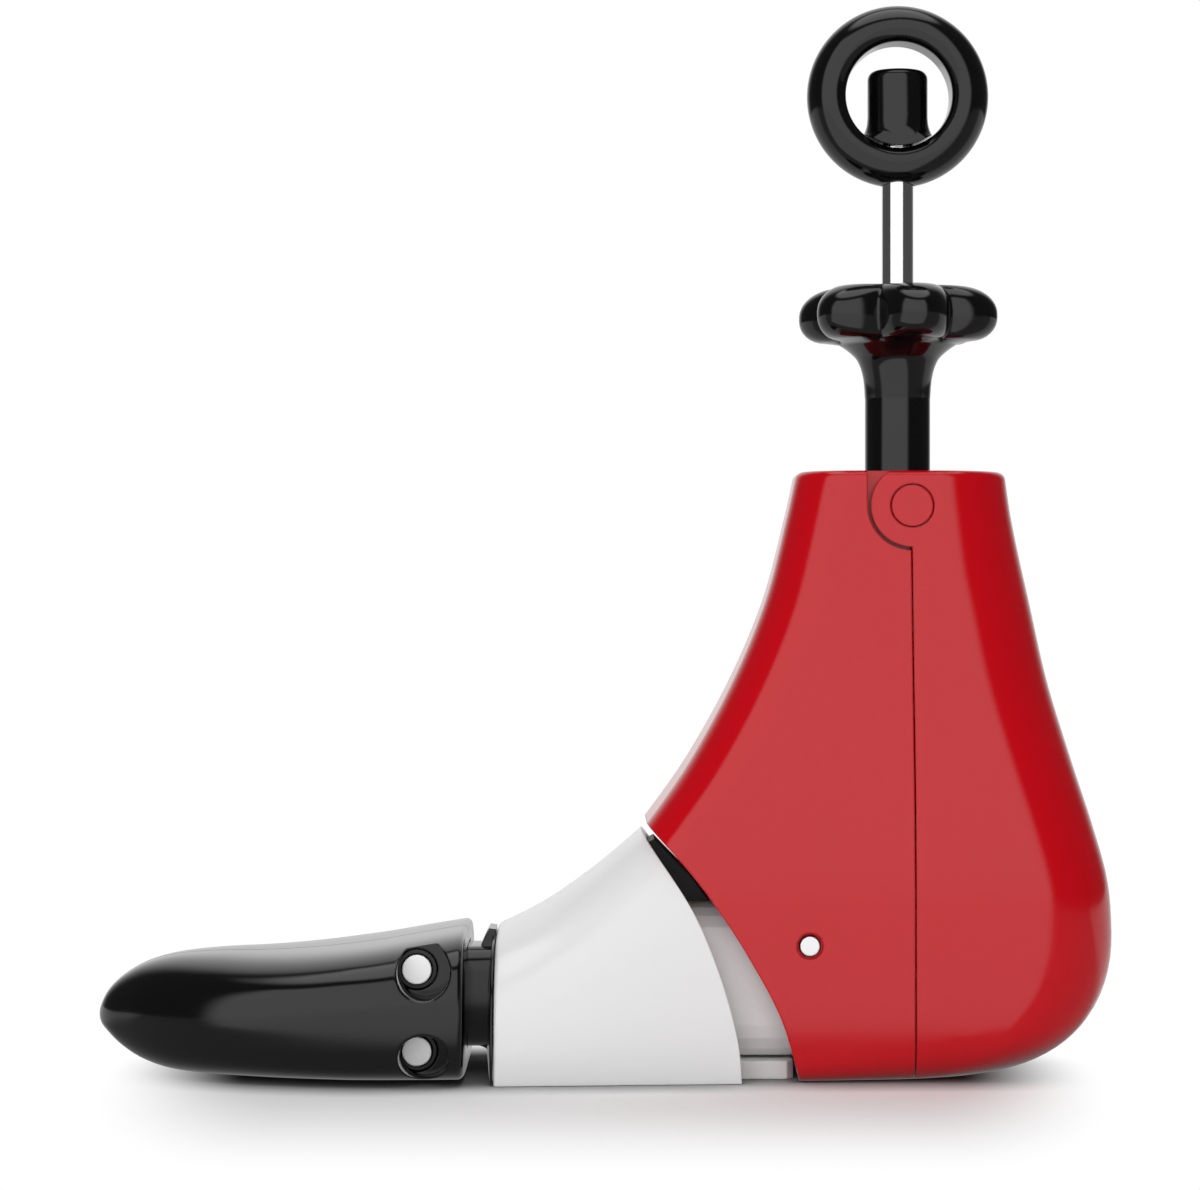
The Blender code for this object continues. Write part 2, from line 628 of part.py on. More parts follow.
def heel_hollow():
    """The space inside the heel's walls."""
    top = HEEL_HEIGHT - HEEL_WALL
    heights = [share * HEEL_HEIGHT for share in HEEL_RING_SHARES]
    heights = [HEEL_WALL] + [z for z in heights if HEEL_WALL + 1.5 * MM < z < top - 4 * MM] + [top]
    return loft([heel_ring(z, HEEL_WALL, 4, 2) for z in heights])


def heel_shell():
    """The heel's wall all round, before it is parted."""
    return cut(heel_solid(), heel_hollow())


def cheek_block(side):
    """The thick wall beside the screw that carries the hinge pin, on one side."""
    back = SCREW_X + COLLAR_REACH
    inner = side * CHEEK_INNER_Y
    outer = side * (heel_half_width(HINGE_Z) - HEEL_WALL / 2)
    low_y, high_y = sorted((inner, outer))
    top = HEEL_HEIGHT - HEEL_WALL / 2
    return box((CHEEK_FRONT_X, low_y, HINGE_Z - CHEEK_DROP), (back - 0.2 * MM, high_y, top))


def knuckle_room(side):
    """What the knuckle and the rear shell need beside the front shell's cheek."""
    inner = side * CHEEK_OUTER_Y
    outer = side * (HEEL_HALF_WIDTH + OVERCUT)
    low_y, high_y = sorted((inner, outer))
    radius = KNUCKLE_RADIUS + KNUCKLE_GAP
    room = crosswise(HINGE_X, HINGE_Z, low_y, high_y, radius, 48)
    top = HEEL_HEIGHT + OVERCUT
    join(room, box((HINGE_X - radius, low_y, HINGE_Z), (HINGE_X + radius, high_y, top)))
    back = HEEL_BACK_X + OVERCUT
    join(room, box((PARTING_X - SEAT_GAP / 2, low_y, HINGE_Z - 3 * CHEEK_DROP), (back, high_y, top - MM)))
    return room


def front_edge_cutter():
    """Everything in front of the front shell's slanted lower edge."""
    edge = [(ANKLE_X - before * HEEL_FRONT_REACH, up * HEEL_HEIGHT)
            for before, up in smooth_line(HEEL_FRONT_EDGE, 4)]
    first = edge[0]
    far = heel_front_x(0.0) - OVERCUT
    outline = [(first[0] - 12 * MM, first[1] + 12.5 * MM)] + edge
    outline += [(edge[-1][0] + 0.4 * MM, -OVERCUT), (far, -OVERCUT), (far, first[1] + 12.5 * MM)]
    half = HEEL_HALF_WIDTH + OVERCUT
    return prism(outline, -half, half, "side")


def front_heel_shell():
    """The fixed front half of the heel, with the collar round the sleeve and the hinge cheeks."""
    half = HEEL_HALF_WIDTH + OVERCUT
    low = (heel_front_x(0.0) - OVERCUT, -half, -OVERCUT)
    shell = keep_inside(heel_shell(), box(low, (PARTING_X - SEAT_GAP / 2, half, HEEL_HEIGHT + OVERCUT)))
    for side in (-1, 1):
        join(shell, cheek_block(side))
    collar_low = (PARTING_X - MM, -CHEEK_OUTER_Y + 0.01 * MM, HEEL_HEIGHT - HEEL_WALL + 0.05 * MM)
    collar_high = (SCREW_X + COLLAR_REACH, CHEEK_OUTER_Y - 0.01 * MM, HEEL_HEIGHT - 0.05 * MM)
    join(shell, box(collar_low, collar_high))
    for side in (-1, 1):
        cut(shell, knuckle_room(side))
        boss_top = HEEL_HEIGHT - HEEL_WALL / 2
        join(shell, upright(FRAME_SCREW_X, side * FRAME_SCREW_Y, FRAME_TAB_TOP_Z + SEAT_GAP, boss_top,
                            FRAME_BOSS_RADIUS))
    cut(shell, front_edge_cutter())
    cut(shell, upright(SCREW_X, 0.0, HINGE_Z - 2 * CHEEK_DROP, HEEL_HEIGHT + OVERCUT, COLLAR_BORE, 40))
    tail_room = SOLE_BACK_X - ANKLE_X + ANKLE_Z * math.sin(ARCH_TILT) + 3 * MM
    notch_back = ANKLE_X + tail_room
    notch_half = CORE_HALF_WIDTH + RUNNING_GAP
    notch_top = SOLE_THICKNESS + 0.6 * MM
    cut(shell, box((low[0], -notch_half, -OVERCUT), (notch_back, notch_half, notch_top)))
    for side in (-1, 1):
        screw_top = FRAME_TAB_TOP_Z + FRAME_SCREW_REACH + SEAT_GAP
        cut(shell, upright(FRAME_SCREW_X, side * FRAME_SCREW_Y, FRAME_TAB_TOP_Z - MM, screw_top,
                           FRAME_SCREW_RADIUS + SEAT_GAP, 16))
        low_y, high_y = sorted((side * (CHEEK_INNER_Y - OVERCUT / 2), side * half))
        cut(shell, crosswise(HINGE_X, HINGE_Z, low_y, high_y, HINGE_PIN_RADIUS + SEAT_GAP))
    cut(shell, crosswise(ANKLE_X, ANKLE_Z, -half, half, ANKLE_PIN_RADIUS + SEAT_GAP))
    for side in (-1, 1):
        face = heel_half_width(ANKLE_Z) - ANKLE_RECESS
        low_y, high_y = sorted((side * face, side * half))
        cut(shell, crosswise(ANKLE_X, ANKLE_Z, low_y, high_y, ANKLE_HOLE_RADIUS, 32))
    return shell


def rear_heel_shell():
    """The swinging rear half of the heel, with its round knuckles and the ribs that hold the ramp."""
    half = HEEL_HALF_WIDTH + OVERCUT
    low = (PARTING_X + SEAT_GAP / 2, -half, -OVERCUT)
    shell = keep_inside(heel_shell(), box(low, (HEEL_BACK_X + OVERCUT, half, HEEL_HEIGHT + OVERCUT)))
    for side in (-1, 1):
        low_y, high_y = sorted((side * KNUCKLE_INNER_Y, side * half))
        knuckle = crosswise(HINGE_X, HINGE_Z, low_y, high_y, KNUCKLE_RADIUS, 48)
        join(shell, keep_inside(knuckle, heel_solid()))
    room_back = SCREW_X + COLLAR_REACH + SWING_GAP
    room_half = CHEEK_OUTER_Y + SEAT_GAP - 0.01 * MM
    room_bottom = HINGE_Z - CHEEK_DROP - 2 * MM
    room_front = PARTING_X - 2 * KNUCKLE_RADIUS
    cut(shell, box((room_front, -room_half, room_bottom), (room_back, room_half, HEEL_HEIGHT + OVERCUT)))
    for side in (-1, 1):
        inner = RAMP_HALF_WIDTH + SEAT_GAP
        low_y, high_y = sorted((side * inner, side * (inner + RIB_THICKNESS)))
        join(shell, prism(rib_outline(), low_y, high_y, "side"))
    pin_half = RAMP_HALF_WIDTH + SEAT_GAP + RIB_THICKNESS + MM
    pin_x, pin_z = ramp_pin_place()
    cut(shell, crosswise(pin_x, pin_z, -pin_half, pin_half, RAMP_PIN_RADIUS + SEAT_GAP))
    for side in (-1, 1):
        low_y, high_y = sorted((side * (KNUCKLE_INNER_Y - 2 * MM), side * half))
        cut(shell, crosswise(HINGE_X, HINGE_Z, low_y, high_y, HINGE_PIN_RADIUS + SEAT_GAP))
        face = heel_half_width(HINGE_Z) - HINGE_CAP_DEPTH
        low_y, high_y = sorted((side * face, side * half))
        cut(shell, crosswise(HINGE_X, HINGE_Z, low_y, high_y, HINGE_CAP_RADIUS + SEAT_GAP, 40))
    return shell


def rib_outline():
    """Side view of a rib behind the ramp: it follows the back wall."""
    heights = [RAMP_BOTTOM_Z + (RAMP_TOP_Z - RAMP_BOTTOM_Z) * i / 5 for i in range(6)]
    back = [(heel_back_x(z) - HEEL_WALL / 2, z) for z in heights]
    front = [(heel_back_x(z) - HEEL_WALL - RIB_DEPTH, z) for z in reversed(heights)]
    return back + front


def hinge_pin(side):
    """A stub pin through knuckle and cheek, with a flush round cap."""
    cap_face = heel_half_width(HINGE_Z) + OVERCUT
    cap_back = heel_half_width(HINGE_Z) - HINGE_CAP_DEPTH + SEAT_GAP
    low_y, high_y = sorted((side * (CHEEK_INNER_Y + MM), side * (cap_back + 0.5 * MM)))
    pin = crosswise(HINGE_X, HINGE_Z, low_y, high_y, HINGE_PIN_RADIUS)
    low_y, high_y = sorted((side * cap_back, side * cap_face))
    cap = keep_inside(crosswise(HINGE_X, HINGE_Z, low_y, high_y, HINGE_CAP_RADIUS, 40), heel_solid())
    return join(pin, cap)


def ankle_pin():
    """The steel pin that the front half tilts on."""
    end = heel_half_width(ANKLE_Z) - ANKLE_PIN_SINK
    return crosswise(ANKLE_X, ANKLE_Z, -end, end, ANKLE_PIN_RADIUS)


def ankle_spacer(side):
    """A spacer between the core's cheek and the heel's wall."""
    inner = CORE_HALF_WIDTH + SEAT_GAP
    outer = heel_half_width(ANKLE_Z) - HEEL_WALL - SEAT_GAP
    low_y, high_y = sorted((side * inner, side * outer))
    spacer = crosswise(ANKLE_X, ANKLE_Z, low_y, high_y, SPACER_RADIUS, 32)
    return cut(spacer, crosswise(ANKLE_X, ANKLE_Z, low_y - MM, high_y + MM, ANKLE_PIN_RADIUS + SEAT_GAP))


# The frame and its nuts


def screw_frame():
    """The bent carrier: a tab under the heel's top, a front spine, two arms and a rear spine."""
    outline = [
        (FRAME_TAB_FRONT_X, FRAME_TAB_TOP_Z),
        (FRAME_TAB_FRONT_X, FRAME_TAB_TOP_Z - FRAME_TAB_THICKNESS + 0.4 * MM),
        (FRAME_SPINE_FRONT_X, FRAME_TAB_TOP_Z - FRAME_TAB_THICKNESS - 0.4 * MM),
        (FRAME_SPINE_FRONT_X, LOWER_ARM_BOTTOM_Z),
        (FRAME_REAR_SPINE_X, LOWER_ARM_BOTTOM_Z),
        (FRAME_REAR_SPINE_X, FRAME_REAR_BOTTOM_Z),
        (FRAME_REAR_BACK_X, FRAME_REAR_BOTTOM_Z),
        (FRAME_REAR_BACK_X, LOWER_ARM_TOP_Z),
        (FRAME_SPINE_BACK_X, LOWER_ARM_TOP_Z),
        (FRAME_SPINE_BACK_X, UPPER_ARM_BOTTOM_Z),
        (UPPER_ARM_BACK_X, UPPER_ARM_BOTTOM_Z),
        (UPPER_ARM_BACK_X, UPPER_ARM_TOP_Z),
        (FRAME_SPINE_BACK_X, UPPER_ARM_TOP_Z),
        (FRAME_SPINE_BACK_X, FRAME_TAB_TOP_Z - FRAME_TAB_THICKNESS),
        (FRAME_TAB_BACK_X, FRAME_TAB_TOP_Z - FRAME_TAB_THICKNESS),
        (FRAME_TAB_BACK_X, FRAME_TAB_TOP_Z),
    ]
    frame = prism(outline, -FRAME_HALF_WIDTH, FRAME_HALF_WIDTH, "side")
    for radius, bottom, top in ((LENGTH_NUT_RADIUS, UPPER_ARM_BOTTOM_Z, UPPER_ARM_TOP_Z),
                                (WIDTH_NUT_RADIUS, LOWER_ARM_BOTTOM_Z, LOWER_ARM_TOP_Z)):
        cut(frame, upright(SCREW_X, 0.0, bottom - MM, top + MM, radius + SEAT_GAP, 32))
    for side in (-1, 1):
        y = side * FRAME_SCREW_Y
        tab_bottom = FRAME_TAB_TOP_Z - FRAME_TAB_THICKNESS
        hole = FRAME_SCREW_RADIUS + SEAT_GAP
        cut(frame, upright(FRAME_SCREW_X, y, tab_bottom - MM, FRAME_TAB_TOP_Z + MM, hole, 16))
        reach = FRAME_SCREW_HEAD_RADIUS + 2 * SEAT_GAP
        cut(frame, upright(FRAME_SCREW_X, y, UPPER_ARM_TOP_Z, tab_bottom, reach, 20))
    return frame


def frame_screw(side):
    """A screw that holds the frame's tab up against the heel's top."""
    y = side * FRAME_SCREW_Y
    head_top = FRAME_TAB_TOP_Z - FRAME_TAB_THICKNESS - SEAT_GAP
    head_low = head_top - FRAME_SCREW_HEAD_HEIGHT
    screw = upright(FRAME_SCREW_X, y, head_low, head_top, FRAME_SCREW_HEAD_RADIUS, 20)
    top = FRAME_TAB_TOP_Z + FRAME_SCREW_REACH
    return join(screw, upright(FRAME_SCREW_X, y, head_top - 0.5 * MM, top, FRAME_SCREW_RADIUS, 16))


def flanged_nut(bottom, top, radius, flange, flange_radius, bore):
    """A round nut in an arm, with its flange under the arm."""
    seat = bottom - SEAT_GAP
    profile = [(radius, top), (radius, seat), (flange_radius, seat), (flange_radius, seat - flange),
               (bore, seat - flange), (bore, top)]
    return turned(profile, SCREW_X, 0.0, 32, closed=True)


def length_nut():
    """The nut that the hollow screw turns in."""
    return flanged_nut(UPPER_ARM_BOTTOM_Z, UPPER_ARM_TOP_Z, LENGTH_NUT_RADIUS, LENGTH_NUT_FLANGE,
                       LENGTH_NUT_FLANGE_RADIUS, SCREW_RADIUS + SEAT_GAP)


def width_nut():
    """The nut that the rod turns in."""
    return flanged_nut(LOWER_ARM_BOTTOM_Z, LOWER_ARM_TOP_Z, WIDTH_NUT_RADIUS, WIDTH_NUT_FLANGE,
                       WIDTH_NUT_FLANGE_RADIUS, ROD_RADIUS + SEAT_GAP)


# The length drive


def knob_ring(z, round_radius, lobe_height):
    """One level section of the star knob: a circle with six lobes."""
    count = 10 * KNOB_LOBES
    ring = []
    for i in range(count):
        angle = 2 * math.pi * i / count
        wave = 0.5 + 0.5 * math.cos(KNOB_LOBES * (angle - KNOB_LOBE_TURN))
        radius = round_radius + lobe_height * wave ** 0.75
        ring.append((SCREW_X + radius * math.cos(angle), radius * math.sin(angle), z))
    return ring


def star_knob():
    """The star knob with its flare and the smooth sleeve that enters the heel."""
    lobe = KNOB_RADIUS - KNOB_VALLEY_RADIUS
    rings = [knob_ring(SLEEVE_BOTTOM_Z, SLEEVE_RADIUS, 0.0)]
    for drop, radius in reversed(KNOB_FLARE):
        rings.append(knob_ring(KNOB_BOTTOM_Z - drop * KNOB_FLARE_HEIGHT, radius * SLEEVE_RADIUS, 0.0))
    steps = 4
    for i in range(steps + 1):
        turn = math.radians(90 * i / steps)
        inset = KNOB_EDGE_RADIUS * (1 - math.sin(turn))
        z = KNOB_BOTTOM_Z + KNOB_EDGE_RADIUS * (1 - math.cos(turn))
        rings.append(knob_ring(z, KNOB_VALLEY_RADIUS - inset * 0.55, lobe - inset * 0.45))
    for i in range(1, steps + 1):
        turn = math.radians(90 * i / steps)
        inset = KNOB_EDGE_RADIUS * (1 - math.cos(turn))
        z = KNOB_TOP_Z - KNOB_EDGE_RADIUS * (1 - math.sin(turn))
        rings.append(knob_ring(z, KNOB_VALLEY_RADIUS - inset * 0.55, lobe - inset * 0.45))
    knob = loft(rings)
    cut(knob, upright(SCREW_X, 0.0, SLEEVE_BOTTOM_Z - MM, KNOB_TOP_Z - KNOB_CROWN, SPIGOT_BORE, 32))
    return cut(knob, upright(SCREW_X, 0.0, SLEEVE_BOTTOM_Z, KNOB_TOP_Z + MM, ROD_BORE, 24))


def length_screw():
    """The hollow screw, fixed in the knob, with a neck that carries the carriage."""
    top = KNOB_TOP_Z - KNOB_CROWN - SEAT_GAP
    shoulder = CARRIAGE_TOP_Z + WASHER_THICKNESS + 2 * SEAT_GAP
    bottom = CARRIAGE_BOTTOM_Z + SEAT_GAP
    step = SLEEVE_BOTTOM_Z - SEAT_GAP
    profile = [(SPIGOT_RADIUS, top), (SPIGOT_RADIUS, step), (SCREW_RADIUS, step), (SCREW_RADIUS, shoulder),
               (NECK_RADIUS, shoulder), (NECK_RADIUS, bottom), (ROD_BORE, bottom), (ROD_BORE, top)]
    return turned(profile, SCREW_X, 0.0, 32, closed=True)


def length_clip():
    """The clip on the screw's neck, in the recess under the carriage."""
    top = CARRIAGE_BOTTOM_Z + CLIP_RECESS - SEAT_GAP
    inner = NECK_RADIUS + SEAT_GAP
    return washer(SCREW_X, 0.0, top - CLIP_THICKNESS, top, inner, NECK_RADIUS + CLIP_SPREAD)


def length_washer():
    """The thrust washer between the screw's shoulder and the carriage."""
    bottom = CARRIAGE_TOP_Z + SEAT_GAP
    top = bottom + WASHER_THICKNESS
    return washer(SCREW_X, 0.0, bottom, top, NECK_RADIUS + SEAT_GAP, NECK_RADIUS + 3 * MM)


def carriage():
    """The block that slides down the front spine and holds the follower pin between two ears."""
    body = box((CARRIAGE_FRONT_X, -CARRIAGE_HALF_WIDTH, CARRIAGE_BOTTOM_Z),
               (CARRIAGE_BACK_X, CARRIAGE_HALF_WIDTH, CARRIAGE_TOP_Z))
    for side in (-1, 1):
        low_y, high_y = sorted((side * EAR_INNER_Y, side * EAR_OUTER_Y))
        outline = [(CARRIAGE_BACK_X - MM, FOLLOWER_Z + EAR_RADIUS)]
        outline += arc(FOLLOWER_X, FOLLOWER_Z, EAR_RADIUS, 90, -90, 10)
        outline.append((CARRIAGE_BACK_X - MM, FOLLOWER_Z - EAR_RADIUS))
        join(body, prism(outline, low_y, high_y, "side"))
    bore = NECK_RADIUS + SEAT_GAP
    cut(body, upright(SCREW_X, 0.0, CARRIAGE_BOTTOM_Z - MM, CARRIAGE_TOP_Z + MM, bore, 32))
    recess = NECK_RADIUS + CLIP_SPREAD + SEAT_GAP
    cut(body, upright(SCREW_X, 0.0, CARRIAGE_BOTTOM_Z - MM, CARRIAGE_BOTTOM_Z + CLIP_RECESS, recess, 32))
    wide = EAR_OUTER_Y + MM
    return cut(body, crosswise(FOLLOWER_X, FOLLOWER_Z, -wide, wide, FOLLOWER_RADIUS + SEAT_GAP, 32))


def follower_pin():
    """The pin that bears on the ramp."""
    return crosswise(FOLLOWER_X, FOLLOWER_Z, -EAR_OUTER_Y, EAR_OUTER_Y, FOLLOWER_RADIUS, 32)


def ramp_face():
    """Where the ramp's face must lie for the pin to swing the shell evenly as it comes down."""
    centres = []
    for i in range(RAMP_STEPS + 1):
        share = i / RAMP_STEPS
        turn = -HEEL_SWING * share
        x = FOLLOWER_X - HINGE_X
        z = FOLLOWER_Z - LENGTH_TRAVEL * share - HINGE_Z
        centres.append((HINGE_X + x * math.cos(turn) - z * math.sin(turn),
                        HINGE_Z + x * math.sin(turn) + z * math.cos(turn)))
    points = []
    reach = FOLLOWER_RADIUS + SEAT_GAP
    for i, (x, z) in enumerate(centres):
        before = Vector(centres[max(i - 1, 0)])
        after = Vector(centres[min(i + 1, RAMP_STEPS)])
        along = (after - before).normalized()
        points.append((x - along.y * reach, z + along.x * reach))
    return points


def ramp_pin_place():
    """The cross pin that holds the ramp between its ribs."""
    z = RAMP_TOP_Z - RAMP_PIN_DROP
    return heel_back_x(z) - HEEL_WALL - RIB_DEPTH / 2, z


def heel_ramp():
    """The ramp: its front follows the pin, its back follows the shell's wall."""
    face = ramp_face()
    top = face[0]
    end = face[-1]
    slope = (face[-2][0] - end[0]) / (face[-2][1] - end[1])
    low_x = end[0] - slope * (end[1] - RAMP_BOTTOM_Z)
    heights = [RAMP_BOTTOM_Z + (RAMP_TOP_Z - RAMP_BOTTOM_Z) * i / 6 for i in range(7)]
    back = [(heel_back_x(z) - HEEL_WALL - 4 * SEAT_GAP, z) for z in heights]
    outline = [(top[0], RAMP_TOP_Z)] + face
    if end[1] > RAMP_BOTTOM_Z + 0.2 * MM:
        outline.append((low_x, RAMP_BOTTOM_Z))
    outline += back
    ramp = prism(outline, -RAMP_HALF_WIDTH, RAMP_HALF_WIDTH, "side")
    pin_x, pin_z = ramp_pin_place()
    wide = RAMP_HALF_WIDTH + MM
    return cut(ramp, crosswise(pin_x, pin_z, -wide, wide, RAMP_PIN_RADIUS + SEAT_GAP))


def ramp_pin():
    """The ramp's cross pin."""
    pin_x, pin_z = ramp_pin_place()
    end = RAMP_HALF_WIDTH + SEAT_GAP + RIB_THICKNESS
    return crosswise(pin_x, pin_z, -end, end, RAMP_PIN_RADIUS)


# The width drive


def pull_ring():
    """The ring: round outside, with a flatter bore and soft edges."""
    half = RING_DEPTH / 2
    profile = []
    steps = 9
    fillet = RING_BORE_FILLET
    middle = RING_BORE + fillet
    low = -half + fillet
    for i in range(1, steps + 1):
        turn = math.radians(90 - 180 * i / steps)
        profile.append((middle + (RING_RADIUS - middle) * math.cos(turn), half * math.sin(turn)))
    for i in range(1, 4):
        turn = math.radians(-90 - 30 * i)
        profile.append((middle + fillet * math.cos(turn), low + fillet * math.sin(turn)))
    for i in range(4):
        turn = math.radians(180 - 30 * i)
        profile.append((middle + fillet * math.cos(turn), -low + fillet * math.sin(turn)))
    ring = turned(profile, 0.0, 0.0, 50, closed=True)
    ring.data.transform(Matrix.Rotation(math.radians(90), 4, "X"))
    ring.data.transform(Matrix.Rotation(math.radians(1.7), 4, "Y"))
    ring.data.transform(Matrix.Translation((SCREW_X, 0.0, RING_CENTRE_Z)))
    bottom = RING_CENTRE_Z - RING_RADIUS - MM
    cut(ring, upright(SCREW_X, 0.0, bottom, RING_CENTRE_Z, ROD_RADIUS + SEAT_GAP, 22))
    shape = evaluated_mesh(ring)
    bmesh.ops.triangulate(shape, faces=shape.faces)
    shape.to_mesh(ring.data)
    shape.free()
    return ring


def ring_boss():
    """The stub that stands in the ring on the rod's end, with a flared foot and a soft top."""
    bottom = RING_CENTRE_Z - RING_BORE - MM
    foot = bottom + BOSS_FOOT_HEIGHT
    profile = [(0.0, BOSS_TOP_Z), (BOSS_RADIUS * 0.78, BOSS_TOP_Z - 0.25 * MM),
               (BOSS_RADIUS * 0.95, BOSS_TOP_Z - MM), (BOSS_RADIUS, BOSS_TOP_Z - 2.4 * MM),
               (BOSS_RADIUS, foot + 2 * MM), (BOSS_RADIUS + 0.7 * MM, foot - MM),
               (BOSS_FOOT_RADIUS, foot - 3.5 * MM), (BOSS_FOOT_RADIUS, bottom), (0.0, bottom)]
    boss = turned(profile, SCREW_X, 0.0, 32)
    half = RING_DEPTH / 2 - 0.1 * MM
    keep_inside(boss, crosswise(SCREW_X, RING_CENTRE_Z, -half, half, RING_BORE - SEAT_GAP, 56))
    return cut(boss, upright(SCREW_X, 0.0, bottom - MM, ROD_TOP_Z + SEAT_GAP, ROD_RADIUS + SEAT_GAP, 24))


def width_rod():
    """The steel rod from the ring down to the wedge, with a thinner neck at its foot."""
    shoulder = WEDGE_TOP_Z + WASHER_THICKNESS + 2 * SEAT_GAP
    bottom = WEDGE_BOTTOM_Z + SEAT_GAP
    profile = [(0.0, ROD_TOP_Z), (ROD_RADIUS, ROD_TOP_Z), (ROD_RADIUS, shoulder),
               (ROD_NECK_RADIUS, shoulder), (ROD_NECK_RADIUS, bottom), (0.0, bottom)]
    return turned(profile, SCREW_X, 0.0, 24)


def width_washer():
    """The thrust washer between the rod's shoulder and the wedge."""
    bottom = WEDGE_TOP_Z + SEAT_GAP
    top = bottom + WASHER_THICKNESS
    return washer(SCREW_X, 0.0, bottom, top, ROD_NECK_RADIUS + SEAT_GAP, ROD_RADIUS + 2 * MM, 24)


def width_clip():
    """The clip on the rod's neck, in the recess under the wedge."""
    top = WEDGE_BOTTOM_Z + CLIP_RECESS - SEAT_GAP
    inner = ROD_NECK_RADIUS + SEAT_GAP
    return washer(SCREW_X, 0.0, top - CLIP_THICKNESS, top, inner, ROD_NECK_RADIUS + CLIP_SPREAD, 24)


def wedge_face_x(z):
    """The wedge's slanted face, which touches the push rod's round nose."""
    lean = math.atan(WEDGE_SLOPE)
    reach = PUSH_NOSE_RADIUS + SEAT_GAP
    return ANKLE_X + (reach - (z - ANKLE_Z) * math.sin(lean)) / math.cos(lean)


def width_wedge():
    """The wedge that the rod pushes down behind the push rod's nose."""
    outline = [(wedge_face_x(WEDGE_BOTTOM_Z), WEDGE_BOTTOM_Z), (WEDGE_BACK_X, WEDGE_BOTTOM_Z),
               (WEDGE_BACK_X, WEDGE_TOP_Z), (WEDGE_HORN_BACK_X, WEDGE_TOP_Z),
               (WEDGE_HORN_BACK_X, WEDGE_HORN_Z),
               (wedge_face_x(WEDGE_HORN_Z), WEDGE_HORN_Z)]
    wedge = prism(outline, -WEDGE_HALF_WIDTH, WEDGE_HALF_WIDTH, "side")
    cut(wedge, upright(SCREW_X, 0.0, WEDGE_BOTTOM_Z - MM, WEDGE_TOP_Z + MM, ROD_NECK_RADIUS + SEAT_GAP, 24))
    recess = ROD_NECK_RADIUS + CLIP_SPREAD + SEAT_GAP
    return cut(wedge, upright(SCREW_X, 0.0, WEDGE_BOTTOM_Z - MM, WEDGE_BOTTOM_Z + CLIP_RECESS, recess, 24))


def push_rod():
    """The push rod: a round nose slotted over the ankle pin, and a bar that lies on the cam plate's tail."""
    bar_bottom = CAM_CENTRE_Z + CAM_THICKNESS / 2 + SEAT_GAP
    bar_top = bar_bottom + PUSH_BAR_HEIGHT
    arm_front = ANKLE_X - 34.0 * MM
    outline = arc(ANKLE_X, ANKLE_Z, PUSH_NOSE_RADIUS, -75, 105, 16)
    outline += [(ANKLE_X - 12.0 * MM, PUSH_ROOF_Z), (arm_front, bar_top), (PUSH_TAIL_FRONT_X, bar_top),
                (PUSH_TAIL_FRONT_X, bar_bottom), (arm_front + 3.0 * MM, bar_bottom)]
    rod = prism(outline, -PUSH_HALF_WIDTH, PUSH_HALF_WIDTH, "side")
    reach = PUSH_SLOT_HALF_HEIGHT
    slot = arc(ANKLE_X + PUSH_TRAVEL + SEAT_GAP, ANKLE_Z, reach, -90, 90, 8)
    slot += arc(ANKLE_X, ANKLE_Z, reach, 90, 270, 8)
    wide = PUSH_HALF_WIDTH + MM
    cut(rod, prism(slot, -wide, wide, "side"))
    return cut(rod, upright(RIVET_X, 0.0, bar_bottom - MM, bar_top + MM, RIVET_RADIUS + SEAT_GAP, 20))


def cam_slot(side):
    """The slanted slot that moves one cam pin out as the plate goes forward."""
    start = Vector((CAM_PIN_X, side * CAM_PIN_Y))
    end = start + Vector((PUSH_TRAVEL, side * TOE_SPREAD))
    along = (end - start).normalized()
    reach = CAM_PIN_RADIUS + SEAT_GAP
    heading = math.degrees(math.atan2(along.y, along.x))
    points = arc(end.x, end.y, reach, heading - 90, heading + 90, 8)
    points += arc(start.x, start.y, reach, heading + 90, heading + 270, 8)
    half = CAM_THICKNESS
    return prism(points, CAM_CENTRE_Z - half, CAM_CENTRE_Z + half, "plan")


def cam_plate():
    """The flat plate with two slanted slots that spreads the toe halves."""
    outline = [
        (CAM_TAIL_BACK_X, -CAM_TAIL_HALF_WIDTH), (CAM_TAIL_BACK_X, CAM_TAIL_HALF_WIDTH),
        (CAM_HEAD_BACK_X, CAM_TAIL_HALF_WIDTH), (CAM_HEAD_BACK_X, CAM_HEAD_HALF_WIDTH),
        (CAM_HEAD_FRONT_X + 4 * MM, CAM_HEAD_HALF_WIDTH), (CAM_HEAD_FRONT_X, CAM_HEAD_HALF_WIDTH / 2),
        (CAM_HEAD_FRONT_X, -CAM_HEAD_HALF_WIDTH / 2), (CAM_HEAD_FRONT_X + 4 * MM, -CAM_HEAD_HALF_WIDTH),
        (CAM_HEAD_BACK_X, -CAM_HEAD_HALF_WIDTH), (CAM_HEAD_BACK_X, -CAM_TAIL_HALF_WIDTH),
    ]
    half = CAM_THICKNESS / 2
    plate = prism(outline, CAM_CENTRE_Z - half, CAM_CENTRE_Z + half, "plan")
    for side in (-1, 1):
        cut(plate, cam_slot(side))
    return cut(plate, upright(RIVET_X, 0.0, CAM_CENTRE_Z - CAM_THICKNESS, CAM_CENTRE_Z + CAM_THICKNESS,
                              RIVET_RADIUS + SEAT_GAP, 20))


